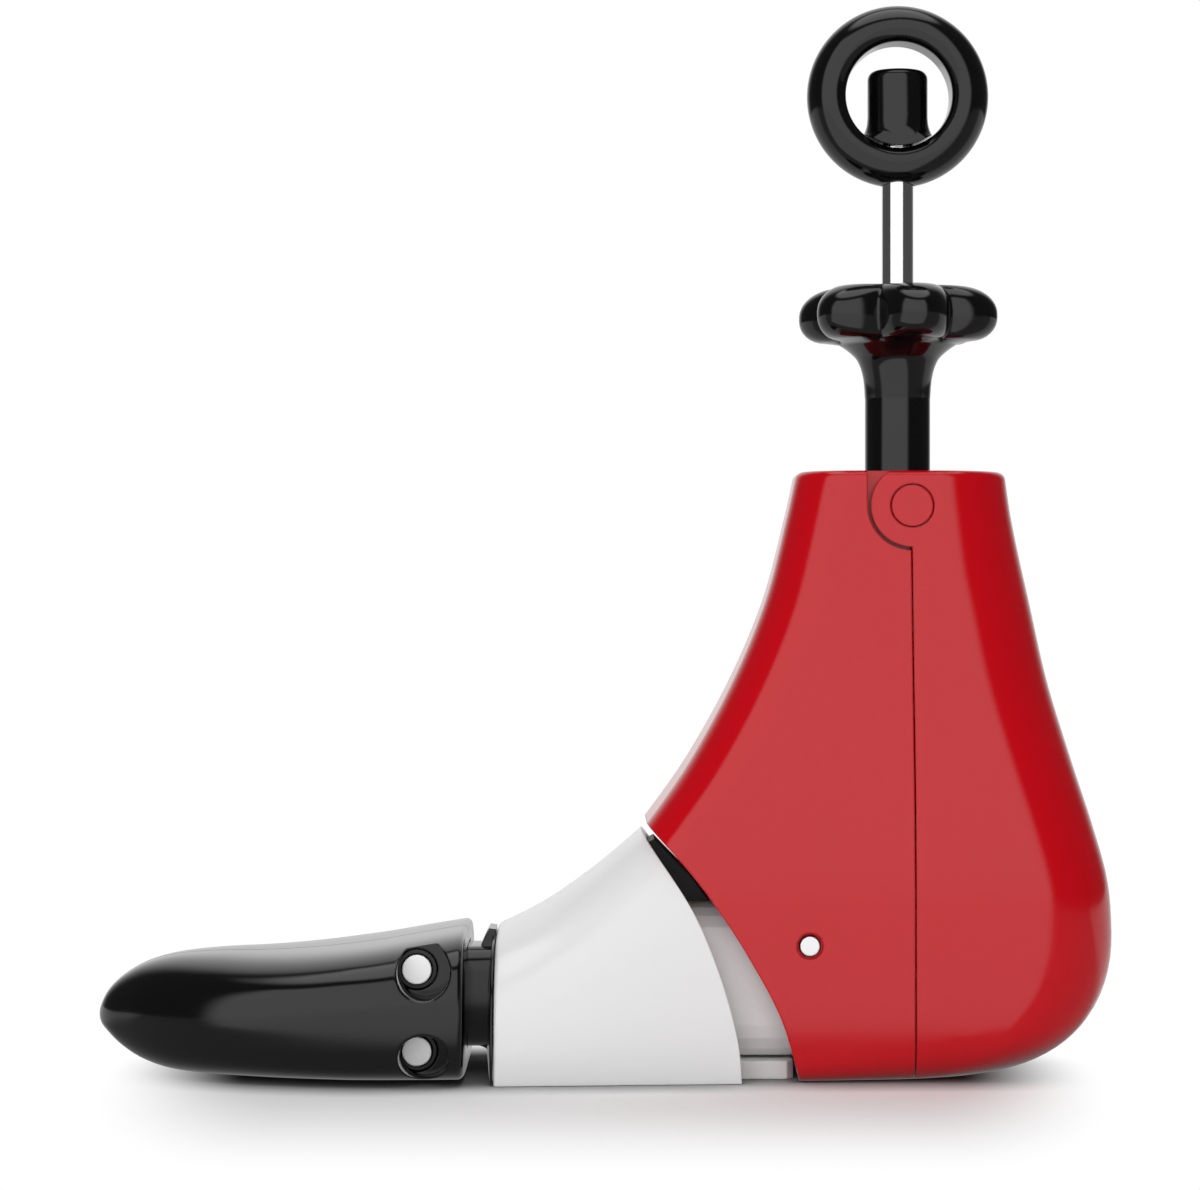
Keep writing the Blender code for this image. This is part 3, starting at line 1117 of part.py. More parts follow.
def cam_rivet():
    """The rivet that joins push rod and cam plate."""
    low = CAM_CENTRE_Z - CAM_THICKNESS / 2 - SEAT_GAP
    high = CAM_CENTRE_Z + CAM_THICKNESS / 2 + PUSH_BAR_HEIGHT + 2 * SEAT_GAP
    profile = [(0.0, high + RIVET_HEAD_HEIGHT), (RIVET_HEAD_RADIUS, high + RIVET_HEAD_HEIGHT),
               (RIVET_HEAD_RADIUS, high),
               (RIVET_RADIUS, high), (RIVET_RADIUS, low), (RIVET_HEAD_RADIUS, low),
               (RIVET_HEAD_RADIUS, low - RIVET_HEAD_HEIGHT), (0.0, low - RIVET_HEAD_HEIGHT)]
    return turned(profile, RIVET_X, 0.0, 20)


# The midfoot


def midfoot_height(x):
    """The instep line."""
    rows = [(MIDFOOT_MOUTH_X + along * MIDFOOT_LENGTH, up * MIDFOOT_MOUTH_HEIGHT)
            for along, up in MIDFOOT_INSTEP]
    return smooth_between(rows, x)[0]


def midfoot_half_width(x):
    """Half the midfoot's width at its foot."""
    share = min(max((x - MIDFOOT_MOUTH_X) / (MIDFOOT_REAR_X - MIDFOOT_MOUTH_X), 0.0), 1.2)
    return MIDFOOT_HALF_WIDTH + (MIDFOOT_REAR_HALF_WIDTH - MIDFOOT_HALF_WIDTH) * share


def arch_points(half, height, power, steps):
    """Half a superellipse from one foot over the top to the other."""
    points = []
    for i in range(steps + 1):
        angle = math.pi * i / steps
        c = math.cos(angle)
        s = math.sin(angle)
        y = half * math.copysign(abs(c) ** (2 / power), c)
        points.append((y, height * max(s, 0.0) ** (2 / power)))
    return points


def midfoot_ring(x, inset, floor, steps):
    """One upright section of the midfoot, down to the given floor."""
    half = midfoot_half_width(x) - inset
    height = midfoot_height(x) - inset
    arch = arch_points(half, height, MIDFOOT_POWER, steps)
    return [(x, y, z) for y, z in arch] + [(x, -half, floor), (x, half, floor)]


def midfoot_shell():
    """The white shell, open to the front, the back and the floor."""
    end = MIDFOOT_REAR_X + MIDFOOT_RUN_ON
    stations = [MIDFOOT_MOUTH_X + (end - MIDFOOT_MOUTH_X) * i / 12 for i in range(13)]
    rings = [midfoot_ring(x, 0.0, 0.0, 28) for x in stations]
    for ring in rings:
        del ring[-2:]
    shell = loft(rings)
    inner = [MIDFOOT_MOUTH_X - OVERCUT] + stations[1:-1] + [end + OVERCUT]
    cut(shell, loft([midfoot_ring(x, MIDFOOT_WALL, -OVERCUT, 20) for x in inner]))
    for side in (-1, 1):
        boss = upright(SHELL_SCREW_X, side * SHELL_SCREW_Y, SOLE_THICKNESS + SEAT_GAP,
                       SOLE_THICKNESS + SOLE_BOSS_HEIGHT, SOLE_BOSS_RADIUS)
        low_y, high_y = sorted((side * (SHELL_SCREW_Y - 1.5 * MM),
                                side * (midfoot_half_width(SHELL_SCREW_X) - MIDFOOT_WALL / 2)))
        join(boss, box((SHELL_SCREW_X - 2.6 * MM, low_y, SOLE_THICKNESS + 2 * SEAT_GAP),
                       (SHELL_SCREW_X + 2.6 * MM, high_y, SOLE_THICKNESS + SOLE_BOSS_HEIGHT - MM)))
        join(shell, boss)
        cut(shell, upright(SHELL_SCREW_X, side * SHELL_SCREW_Y, SOLE_THICKNESS - MM,
                           SOLE_THICKNESS + SOLE_SCREW_REACH + 2 * SEAT_GAP, SOLE_SCREW_RADIUS + SEAT_GAP, 16))
    edge = [(MIDFOOT_MOUTH_X + along * MIDFOOT_LENGTH, up * MIDFOOT_MOUTH_HEIGHT)
            for along, up in smooth_line(MIDFOOT_BACK_EDGE, 4)]
    last = edge[-1]
    outline = [(edge[0][0] - 10 * MM, edge[0][1] + 16 * MM)] + edge
    far = last[0] + 4 * OVERCUT
    outline += [(last[0], -OVERCUT), (far, -OVERCUT), (far, edge[0][1] + 40 * MM)]
    half = MIDFOOT_HALF_WIDTH + OVERCUT
    return cut(shell, prism(outline, -half, half, "side"))


def arch_core():
    """The tube-like bar inside the midfoot, with two cheeks that run to the ankle pin."""
    section = rounded_rectangle(-CORE_HALF_WIDTH, CORE_HALF_WIDTH, CORE_BOTTOM_Z, CORE_TOP_Z, CORE_CORNER)
    back = ANKLE_X + CORE_EYE_RADIUS + MM
    core = prism(section, CORE_FRONT_X, back, "front")
    low_z = CORE_BOTTOM_Z - MM
    outline = [(CORE_FRONT_X - MM, CORE_TOP_Z + MM), (CORE_FRONT_X - MM, low_z), (CORE_LOWER_BACK_X, low_z)]
    outline += arc(ANKLE_X, ANKLE_Z, CORE_EYE_RADIUS, -25, 90, 10)
    outline[-1] = (ANKLE_X, CORE_TOP_Z + MM)
    keep_inside(core, prism(outline, -CORE_HALF_WIDTH - MM, CORE_HALF_WIDTH + MM, "side"))
    stations = [CORE_FRONT_X - MM + (back + 2 * MM - CORE_FRONT_X) * i / 8 for i in range(9)]
    keep_inside(core, loft([midfoot_ring(x, MIDFOOT_WALL + RUNNING_GAP, -OVERCUT, 20) for x in stations]))
    inner_half = CORE_HALF_WIDTH - CORE_WALL
    inner = rounded_rectangle(-inner_half, inner_half, CORE_BOTTOM_Z + CORE_WALL, CORE_TOP_Z - CORE_WALL,
                              CORE_CORNER - CORE_WALL)
    cut(core, prism(inner, CORE_FRONT_X - OVERCUT, back + OVERCUT, "front"))
    roof_front = ANKLE_X - CORE_EYE_RADIUS - 3 * MM
    roof_half = CORE_HALF_WIDTH - CORE_CORNER
    slot_half = PUSH_HALF_WIDTH + 1.2 * MM
    roof_low = CORE_TOP_Z - 2 * CORE_WALL
    cut(core, box((roof_front, -roof_half, roof_low), (back + MM, roof_half, CORE_TOP_Z + MM)))
    cut(core, box((CORE_SLOT_FRONT_X, -slot_half, roof_low), (back + MM, slot_half, CORE_TOP_Z + MM)))
    wide = CORE_HALF_WIDTH + MM
    cut(core, crosswise(CARRIER_SCREW_X, CARRIER_SCREW_Z, -wide, wide, CARRIER_SCREW_RADIUS + SEAT_GAP, 16))
    cut(core, crosswise(ANKLE_X, ANKLE_Z, -wide, wide, ANKLE_PIN_RADIUS + SEAT_GAP))
    for side in (-1, 1):
        join(core, upright(CORE_SCREW_X, side * CORE_SCREW_Y, CORE_BOTTOM_Z + MM,
                           CORE_BOTTOM_Z + SOLE_BOSS_HEIGHT, SOLE_BOSS_RADIUS))
        hole_top = SOLE_THICKNESS + SOLE_SCREW_REACH + 2 * SEAT_GAP
        cut(core, upright(CORE_SCREW_X, side * CORE_SCREW_Y, CORE_BOTTOM_Z - MM, hole_top,
                          SOLE_SCREW_RADIUS + SEAT_GAP, 16))
    return core


def sole_half_width(x):
    """Half the sole plate's width, inside the shell's walls."""
    return midfoot_half_width(x) - MIDFOOT_WALL - SEAT_GAP


def sole_plate():
    """The plate that closes the midfoot from below and runs back under the core."""
    tail = MIDFOOT_REAR_X - 8 * MM
    stations = [SOLE_FRONT_X + (tail - SOLE_FRONT_X) * i / 4 for i in range(5)]
    side = [(x, sole_half_width(x) - 0.2 * MM) for x in stations]
    side += [(tail + 6 * MM, CORE_HALF_WIDTH), (SOLE_BACK_X - 1.5 * MM, CORE_HALF_WIDTH),
             (SOLE_BACK_X, CORE_HALF_WIDTH - 2 * MM)]
    outline = side + [(x, -y) for x, y in reversed(side)]
    plate = prism(outline, 0.0, SOLE_THICKNESS, "plan")
    for x, y in sole_screw_places():
        cut(plate, upright(x, y, -MM, SOLE_THICKNESS + MM, SOLE_SCREW_RADIUS + SEAT_GAP, 16))
        head_top = SOLE_SCREW_HEAD_HEIGHT + 2 * SEAT_GAP
        cut(plate, upright(x, y, -MM, head_top, SOLE_SCREW_HEAD_RADIUS + SEAT_GAP, 20))
    return plate


def sole_screw_places():
    """Where the four sole screws stand."""
    return [(SHELL_SCREW_X, -SHELL_SCREW_Y), (SHELL_SCREW_X, SHELL_SCREW_Y),
            (CORE_SCREW_X, -CORE_SCREW_Y), (CORE_SCREW_X, CORE_SCREW_Y)]


def sole_screw(x, y):
    """A sole screw with its head sunk in the plate."""
    low = SEAT_GAP
    head_top = low + SOLE_SCREW_HEAD_HEIGHT
    screw = upright(x, y, low, head_top, SOLE_SCREW_HEAD_RADIUS, 20)
    top = SOLE_THICKNESS + SOLE_SCREW_REACH
    return join(screw, upright(x, y, head_top - 0.5 * MM, top, SOLE_SCREW_RADIUS, 16))


def nose_carrier():
    """The black carrier: a domed flange in the shell's mouth, a neck, and a block with two pin bores."""
    half = midfoot_half_width(MIDFOOT_MOUTH_X)
    height = midfoot_height(MIDFOOT_MOUTH_X)
    middle = height / 2
    seat = MIDFOOT_MOUTH_X - SEAT_GAP
    rings = []
    for depth, inset in ((0.0, 0.0), (0.45, 0.0), (0.75, 0.25), (1.0, 1.0)):
        shrink = inset * (NECK_HALF_WIDTH - half) * 0.30
        ring_half = half - FLANGE_RIM_INSET + shrink
        ring_height = height - FLANGE_RIM_INSET + shrink * 0.42
        low = FLANGE_RIM_INSET / 2 - shrink * 0.42
        arch = arch_points(ring_half, ring_height - low, MIDFOOT_POWER, 24)
        rings.append([(seat - FLANGE_THICKNESS * depth, y, z + low) for y, z in arch])
    carrier = loft(rings)
    join(carrier, box((BLOCK_BACK_X - MM, -NECK_HALF_WIDTH, NECK_BOTTOM_Z),
                      (seat - 2 * MM, NECK_HALF_WIDTH, NECK_TOP_Z)))
    join(carrier, box((BLOCK_FRONT_X, -NECK_HALF_WIDTH + 0.05 * MM, BLOCK_BOTTOM_Z),
                      (BLOCK_BACK_X, NECK_HALF_WIDTH - 0.05 * MM, BLOCK_TOP_Z)))
    join(carrier, box((seat - MM, -PLUG_HALF_WIDTH, PLUG_BOTTOM_Z),
                      (PLUG_BACK_X, PLUG_HALF_WIDTH, PLUG_TOP_Z)))
    reach = CAM_THICKNESS / 2 + 2 * SEAT_GAP
    run = CAM_TAIL_HALF_WIDTH + SEAT_GAP
    back = PLUG_BACK_X + OVERCUT
    cut(carrier, box((BLOCK_FRONT_X - MM, -run, CAM_CENTRE_Z - reach), (back, run, CAM_CENTRE_Z + reach)))
    rod_front = PUSH_TAIL_FRONT_X - PUSH_TRAVEL - MM
    rod_top = CAM_CENTRE_Z + CAM_THICKNESS / 2 + PUSH_BAR_HEIGHT + RIVET_HEAD_HEIGHT + MM
    cut(carrier, box((rod_front, -run, CAM_CENTRE_Z - reach - 2 * MM), (back, run, rod_top)))
    for z in (GUIDE_UPPER_Z, GUIDE_LOWER_Z):
        cut(carrier, crosswise(GUIDE_X, z, -NECK_HALF_WIDTH - MM, NECK_HALF_WIDTH + MM,
                               GUIDE_RADIUS + SEAT_GAP))
    for side in (-1, 1):
        deep = CORE_HALF_WIDTH - CARRIER_SCREW_REACH - SEAT_GAP
        low_y, high_y = sorted((side * deep, side * (CORE_HALF_WIDTH + MM)))
        cut(carrier, crosswise(CARRIER_SCREW_X, CARRIER_SCREW_Z, low_y, high_y,
                               CARRIER_SCREW_RADIUS + SEAT_GAP, 16))
    return carrier


def carrier_screw(side):
    """A screw through the core's side into the carrier's plug."""
    seat = CORE_HALF_WIDTH + SEAT_GAP
    low_y, high_y = sorted((side * seat, side * (seat + CARRIER_SCREW_HEAD_HEIGHT)))
    screw = crosswise(CARRIER_SCREW_X, CARRIER_SCREW_Z, low_y, high_y, CARRIER_SCREW_HEAD_RADIUS, 20)
    low_y, high_y = sorted((side * (CORE_HALF_WIDTH - CARRIER_SCREW_REACH), side * (seat + 0.5 * MM)))
    return join(screw, crosswise(CARRIER_SCREW_X, CARRIER_SCREW_Z, low_y, high_y, CARRIER_SCREW_RADIUS, 16))


def guide_pin(z):
    """A steel pin across the toe that both halves slide on."""
    return crosswise(GUIDE_X, z, -GUIDE_END_Y, GUIDE_END_Y, GUIDE_RADIUS, 32)


# The toe


def toe_rows():
    """The toe's outline in metres."""
    run = TOE_TIP_X - TOE_BACK_X
    return [(TOE_BACK_X + along * run, top * TOE_HEIGHT, bottom * TOE_HEIGHT, share * TOE_HALF_WIDTH)
            for along, top, bottom, share in TOE_OUTLINE]


def toe_ring(x, inset, steps):
    """One upright section of the toe."""
    top, bottom, half = smooth_between(toe_rows(), x)
    waist = bottom + (top - bottom) * TOE_WAIST_SHARE
    boxy = min((x - TOE_TIP_X) / TOE_POWER_RUN, 1.0)
    power = TOE_TIP_POWER + (TOE_BACK_POWER - TOE_TIP_POWER) * boxy
    half = max(half - inset, 0.4 * MM)
    upper = max(top - inset - waist, 0.3 * MM)
    lower = max(waist - bottom - inset, 0.3 * MM)
    ring = []
    for i in range(steps):
        angle = 2 * math.pi * i / steps
        c = math.cos(angle)
        s = math.sin(angle)
        y = half * math.copysign(abs(c) ** (2 / power), c)
        z = (upper if s >= 0 else lower) * math.copysign(abs(s) ** (2 / power), s)
        ring.append((x, y, waist + z))
    return ring


def toe_solid():
    """The toe's outer form as one solid."""
    shares = (0.0, 0.10, 0.22, 0.34, 0.46, 0.57, 0.68, 0.77, 0.84, 0.89, 0.93, 0.96, 0.98, 0.9945)
    rings = [toe_ring(TOE_BACK_X + (TOE_TIP_X - TOE_BACK_X) * share, 0.0, 36) for share in shares]
    tip = [(TOE_TIP_X, y * 0.45, TOE_TIP_Z + (z - TOE_TIP_Z) * 0.45) for x, y, z in rings[-1]]
    return loft(rings + [tip])


def toe_hollow():
    """The space inside the toe's walls, in front of the rear block."""
    end = TOE_TIP_X + 3 * TOE_WALL
    rings = [toe_ring(TOE_BLOCK_FRONT_X + (end - TOE_BLOCK_FRONT_X) * share, TOE_WALL, 24)
             for share in (0.0, 0.25, 0.5, 0.7, 0.85, 1.0)]
    return loft(rings)


def toe_half(side):
    """One half of the toe, with its boss, bores, pits and the room for carrier and cam plate."""
    half = toe_solid()
    cut(half, toe_hollow())
    top_of_boss = CAM_PIN_TOP_Z + 2.2 * MM
    join(half, upright(CAM_PIN_X, side * CAM_PIN_Y, MM, top_of_boss, CAM_BOSS_RADIUS))
    low_y, high_y = sorted((side * TOE_SPLIT_GAP / 2, side * (TOE_HALF_WIDTH + OVERCUT)))
    keep_inside(half, box((TOE_TIP_X - OVERCUT, low_y, -OVERCUT),
                          (TOE_BACK_X + OVERCUT, high_y, TOE_HEIGHT + OVERCUT)))
    room = NECK_HALF_WIDTH + SEAT_GAP
    cut(half, box((BLOCK_FRONT_X - SEAT_GAP, -room, BLOCK_BOTTOM_Z - SEAT_GAP),
                  (BLOCK_BACK_X + SEAT_GAP, room, BLOCK_TOP_Z + SEAT_GAP)))
    cut(half, box((BLOCK_BACK_X - SEAT_GAP, -room, NECK_BOTTOM_Z - SEAT_GAP),
                  (TOE_BACK_X + OVERCUT, room, NECK_TOP_Z + SEAT_GAP)))
    reach = CAM_THICKNESS / 2 + SEAT_GAP
    front = CAM_HEAD_FRONT_X - PUSH_TRAVEL - MM
    wide = CAM_HEAD_HALF_WIDTH + SEAT_GAP + 0.2 * MM
    cut(half, box((front, -wide, CAM_CENTRE_Z - reach),
                  (BLOCK_FRONT_X + SEAT_GAP, wide, CAM_CENTRE_Z + reach)))
    cut(half, upright(CAM_PIN_X, side * CAM_PIN_Y, CAM_PIN_BOTTOM_Z - SEAT_GAP, CAM_PIN_TOP_Z + SEAT_GAP,
                      CAM_PIN_RADIUS + SEAT_GAP, 20))
    for z, pit_radius, pit_lift in ((GUIDE_UPPER_Z, UPPER_PIT_RADIUS, UPPER_PIT_LIFT),
                                    (GUIDE_LOWER_Z, LOWER_PIT_RADIUS, LOWER_PIT_LIFT)):
        low_y, high_y = sorted((side * (NECK_HALF_WIDTH - 2 * MM), side * (TOE_HALF_WIDTH + OVERCUT)))
        cut(half, crosswise(GUIDE_X, z, low_y, high_y, BUSH_RADIUS + SEAT_GAP))
        low_y, high_y = sorted((side * PIT_FLOOR_Y, side * (TOE_HALF_WIDTH + OVERCUT)))
        cut(half, crosswise(GUIDE_X + PIT_BACK_OFFSET, z + pit_lift, low_y, high_y, pit_radius, 36))
    return half


def guide_bush(z, side):
    """A bush pressed in a toe half, running on a guide pin."""
    inner = NECK_HALF_WIDTH + 2 * SEAT_GAP
    low_y, high_y = sorted((side * inner, side * (PIT_FLOOR_Y - SEAT_GAP)))
    bush = crosswise(GUIDE_X, z, low_y, high_y, BUSH_RADIUS)
    return cut(bush, crosswise(GUIDE_X, z, low_y - MM, high_y + MM, GUIDE_RADIUS + SEAT_GAP))


def cam_pin(side):
    """The upright pin that rides in the cam plate's slot."""
    return upright(CAM_PIN_X, side * CAM_PIN_Y, CAM_PIN_BOTTOM_Z, CAM_PIN_TOP_Z, CAM_PIN_RADIUS, 20)


def finish_material(name, finish):
    """A material for one piece, from a named finish."""
    colour, roughness, metallic = FINISHES[finish]
    material = bpy.data.materials.new(name + "_finish")
    material.use_nodes = True
    shader = material.node_tree.nodes["Principled BSDF"]
    shader.inputs["Base Color"].default_value = (*colour, 1.0)
    shader.inputs["Roughness"].default_value = roughness
    shader.inputs["Metallic"].default_value = metallic
    return material


def body_axis(name, at, parent):
    """An empty on a body's joint, which its pieces hang from."""
    empty = bpy.data.objects.new(name + "_axis", None)
    empty.location = Vector(at) - (parent.matrix_world.translation if parent else Vector())
    empty.parent = parent
    bpy.context.scene.collection.objects.link(empty)
    bpy.context.view_layer.update()
    return empty


def settle(piece, name, finish, body, collection):
    """Name a piece, give it its finish and hang it on its body's empty."""
    origin = body.matrix_world.translation
    piece.name = name
    piece.data.name = name
    piece.data.transform(Matrix.Translation(-origin))
    piece.parent = body
    piece.data.materials.clear()
    piece.data.materials.append(finish_material(name, finish))
    piece.data.shade_smooth()
    piece.data.set_sharp_from_angle(angle=math.radians(32))
    for old in list(piece.users_collection):
        old.objects.unlink(piece)
    collection.objects.link(piece)


def main():
    """Build every piece and hang it on its body."""
    clear_scene()
    collection = bpy.data.collections.new("shoe_stretcher")
    bpy.context.scene.collection.children.link(collection)
    screw_line = (SCREW_X, 0.0, 0.0)
    heel = body_axis("heel", (0.0, 0.0, 0.0), None)
    rear = body_axis("rear_heel", (HINGE_X, 0.0, HINGE_Z), heel)
    length_slide = body_axis("length_carriage", screw_line, heel)
    length_turn = body_axis("length_handle", screw_line, length_slide)
    width_slide = body_axis("width_carriage", screw_line, heel)
    width_turn = body_axis("width_handle", screw_line, width_slide)
    midfoot = body_axis("midfoot", (ANKLE_X, 0.0, ANKLE_Z), heel)
    push = body_axis("push", (ANKLE_X, 0.0, ANKLE_Z), midfoot)
    toes = {-1: body_axis("toe_left", (GUIDE_X, 0.0, GUIDE_LOWER_Z), midfoot),
            1: body_axis("toe_right", (GUIDE_X, 0.0, GUIDE_LOWER_Z), midfoot)}
    names = {-1: "left", 1: "right"}
    pieces = [
        (front_heel_shell(), "front_heel_shell", "red_gloss", heel),
        (screw_frame(), "screw_frame", "plain_steel", heel),
        (length_nut(), "length_nut", "brass", heel),
        (width_nut(), "width_nut", "brass", heel),
        (ankle_pin(), "ankle_pin", "polished_steel", heel),
        (rear_heel_shell(), "rear_heel_shell", "red_gloss", rear),
        (heel_ramp(), "heel_ramp", "dark_plastic", rear),
        (ramp_pin(), "ramp_pin", "plain_steel", rear),
        (carriage(), "carriage", "plain_steel", length_slide),
        (follower_pin(), "follower_pin", "plain_steel", length_slide),
        (length_washer(), "length_washer", "brass", length_slide),
        (star_knob(), "star_knob", "black_gloss", length_turn),
        (length_screw(), "length_screw", "plain_steel", length_turn),
        (length_clip(), "length_clip", "plain_steel", length_turn),
        (width_wedge(), "width_wedge", "plain_steel", width_slide),
        (width_washer(), "width_washer", "brass", width_slide),
        (pull_ring(), "pull_ring", "black_gloss", width_turn),
        (ring_boss(), "ring_boss", "black_gloss", width_turn),
        (width_rod(), "width_rod", "polished_steel", width_turn),
        (width_clip(), "width_clip", "plain_steel", width_turn),
        (midfoot_shell(), "midfoot_shell", "white_gloss", midfoot),
        (arch_core(), "arch_core", "grey_plastic", midfoot),
        (sole_plate(), "sole_plate", "grey_plastic", midfoot),
        (nose_carrier(), "nose_carrier", "black_gloss", midfoot),
        (guide_pin(GUIDE_UPPER_Z), "upper_guide_pin", "polished_steel", midfoot),
        (guide_pin(GUIDE_LOWER_Z), "lower_guide_pin", "polished_steel", midfoot),
        (push_rod(), "push_rod", "plain_steel", push),
        (cam_plate(), "cam_plate", "plain_steel", push),
        (cam_rivet(), "cam_rivet", "plain_steel", push),
    ]
    for number, (x, y) in enumerate(sole_screw_places(), 1):
        pieces.append((sole_screw(x, y), f"sole_screw_{number}", "plain_steel", midfoot))
    for side, name in names.items():
        pieces.append((frame_screw(side), f"frame_screw_{name}", "plain_steel", heel))
        pieces.append((hinge_pin(side), f"hinge_pin_{name}", "red_gloss", heel))
        pieces.append((ankle_spacer(side), f"ankle_spacer_{name}", "dark_plastic", heel))
        pieces.append((carrier_screw(side), f"carrier_screw_{name}", "plain_steel", midfoot))
        pieces.append((toe_half(side), f"toe_half_{name}", "black_gloss", toes[side]))
        pieces.append((guide_bush(GUIDE_UPPER_Z, side), f"upper_bush_{name}", "brass", toes[side]))
        pieces.append((guide_bush(GUIDE_LOWER_Z, side), f"lower_bush_{name}", "brass", toes[side]))
        pieces.append((cam_pin(side), f"cam_pin_{name}", "plain_steel", toes[side]))
    for piece, name, finish, body in pieces:
        settle(piece, name, finish, body, collection)


main()
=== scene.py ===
"""Shoe stretcher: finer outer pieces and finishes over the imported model, studio light and camera.

The toe points to -X, the heel to +X and +Z is up. Sizes are in metres; a number times MM is in millimetres.
"""

import logging
import math
from dataclasses import dataclass
from enum import Enum
from typing import Any, Sequence

import bmesh
import bpy
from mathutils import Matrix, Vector
from mathutils.bvhtree import BVHTree
from mathutils.interpolate import poly_3d_calc


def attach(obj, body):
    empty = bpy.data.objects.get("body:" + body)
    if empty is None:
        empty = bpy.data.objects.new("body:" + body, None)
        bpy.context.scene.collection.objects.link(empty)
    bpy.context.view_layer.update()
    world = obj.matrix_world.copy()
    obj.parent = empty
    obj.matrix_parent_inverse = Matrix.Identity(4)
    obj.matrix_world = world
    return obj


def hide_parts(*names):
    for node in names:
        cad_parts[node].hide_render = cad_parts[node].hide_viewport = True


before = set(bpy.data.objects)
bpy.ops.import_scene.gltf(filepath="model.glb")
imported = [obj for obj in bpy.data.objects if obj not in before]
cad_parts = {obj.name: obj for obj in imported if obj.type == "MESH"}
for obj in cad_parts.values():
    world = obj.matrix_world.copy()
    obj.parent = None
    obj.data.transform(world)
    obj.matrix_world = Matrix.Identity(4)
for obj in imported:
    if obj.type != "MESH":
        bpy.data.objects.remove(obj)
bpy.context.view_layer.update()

MM = 0.001
WELD = 0.002 * MM
SKIN_REACH = 0.03 * MM
SAME_WAY = 0.75
SHARP_ANGLE = math.radians(32)
WIDEST_CORNER = 0.96
LOG = logging.getLogger("shoe_stretcher")

Point = tuple[float, float, float]
Profile = Sequence[tuple[float, float]]


class Side(Enum):
    """The two sides of the stretcher, by the sign of Y."""

    LEFT = -1
    RIGHT = 1


SIDES = tuple(side.value for side in Side)


class Change(Enum):
    """How one solid changes another."""

    CUT = "DIFFERENCE"
    ADD = "UNION"
    KEEP = "INTERSECT"


class Plane(Enum):
    """The plane that a flat outline is drawn in, by the axis that it is pushed along."""

    SIDE = "y"
    PLAN = "z"
    FRONT = "x"


def smooth_between(rows: Sequence[Sequence[float]], at: float) -> list[float]:
    """Read a smooth curve through rows of (place, value, value...).

    Args:
        rows: The rows, with places that rise or fall.
        at: The place to read.

    Returns:
        The values there.
    """
    rows = sorted(rows)
    at = min(max(at, rows[0][0]), rows[-1][0])
    index = 0
    while index < len(rows) - 2 and at > rows[index + 1][0]:
        index += 1
    before, start, end = rows[max(index - 1, 0)], rows[index], rows[index + 1]
    after = rows[min(index + 2, len(rows) - 1)]
    span = end[0] - start[0]
    share = (at - start[0]) / span
    values = []
    for column in range(1, len(start)):
        into = (end[column] - before[column]) / (end[0] - before[0]) * span
        out = (after[column] - start[column]) / (after[0] - start[0]) * span
        values.append((2 * share ** 3 - 3 * share ** 2 + 1) * start[column]
                      + (share ** 3 - 2 * share ** 2 + share) * into
                      + (3 * share ** 2 - 2 * share ** 3) * end[column]
                      + (share ** 3 - share ** 2) * out)
    return values


def smooth_line(points: Profile, steps: int) -> list[tuple[float, float]]:
    """Draw a smooth line through a few points.

    Args:
        points: The points.
        steps: Steps between each two.

    Returns:
        The finer points.
    """
    rows = [(float(i), u, v) for i, (u, v) in enumerate(points)]
    count = (len(points) - 1) * steps
    return [tuple(smooth_between(rows, i / steps)) for i in range(count + 1)]


def even(low: float, high: float, steps: int) -> list[float]:
    """Evenly spaced values from low to high, both among them."""
    return [low + (high - low) * i / steps for i in range(steps + 1)]


def quarter(steps: int) -> list[float]:
    """Evenly spaced angles over a quarter turn, both ends among them."""
    return [math.radians(angle) for angle in even(0, 90, steps)]


def turns(steps: int) -> list[float]:
    """Evenly spaced angles once round."""
    return [math.tau * i / steps for i in range(steps)]


def beside(side: int, inner: float, outer: float) -> list[float]:
    """The lower and the upper Y of a stretch on one side, given by its inner and outer end without sign."""
    return sorted((side * inner, side * outer))


def arc(x: float, z: float, radius: float, start: float, end: float, steps: int) -> list[tuple[float, float]]:
    """Points on an arc.

    Args:
        x: Centre along the first axis.
        z: Centre along the second axis.
        radius: The arc's radius.
        start: First angle in degrees.
        end: Last angle in degrees.
        steps: Number of steps.

    Returns:
        The points.
    """
    angles = [math.radians(angle) for angle in even(start, end, steps)]
    return [(x + radius * math.cos(a), z + radius * math.sin(a)) for a in angles]


def boxy_round(angle: float, power: float) -> tuple[float, float]:
    """A point on a round form that grows boxy with its power.

    Args:
        angle: Direction of the point.
        power: 2 gives a circle, more gives a box with round corners.

    Returns:
        The point, with a reach of 1 along both axes.
    """
    c, s = math.cos(angle), math.sin(angle)
    reach = (abs(c) ** power + abs(s) ** power) ** (-1 / power)
    return c * reach, s * reach


def rounding(depth: float, radius: float) -> float:
    """How far a rounded edge turns in, at a depth below its end."""
    rest = max(radius - max(depth, 0.0), 0.0)
    return radius - math.sqrt(max(radius ** 2 - rest ** 2, 0.0))


def edge_depths(radius: float, steps: int) -> list[float]:
    """Depths below an end at which a rounded edge gets its rings."""
    return [radius * (1 - math.cos(turn)) for turn in quarter(steps)]


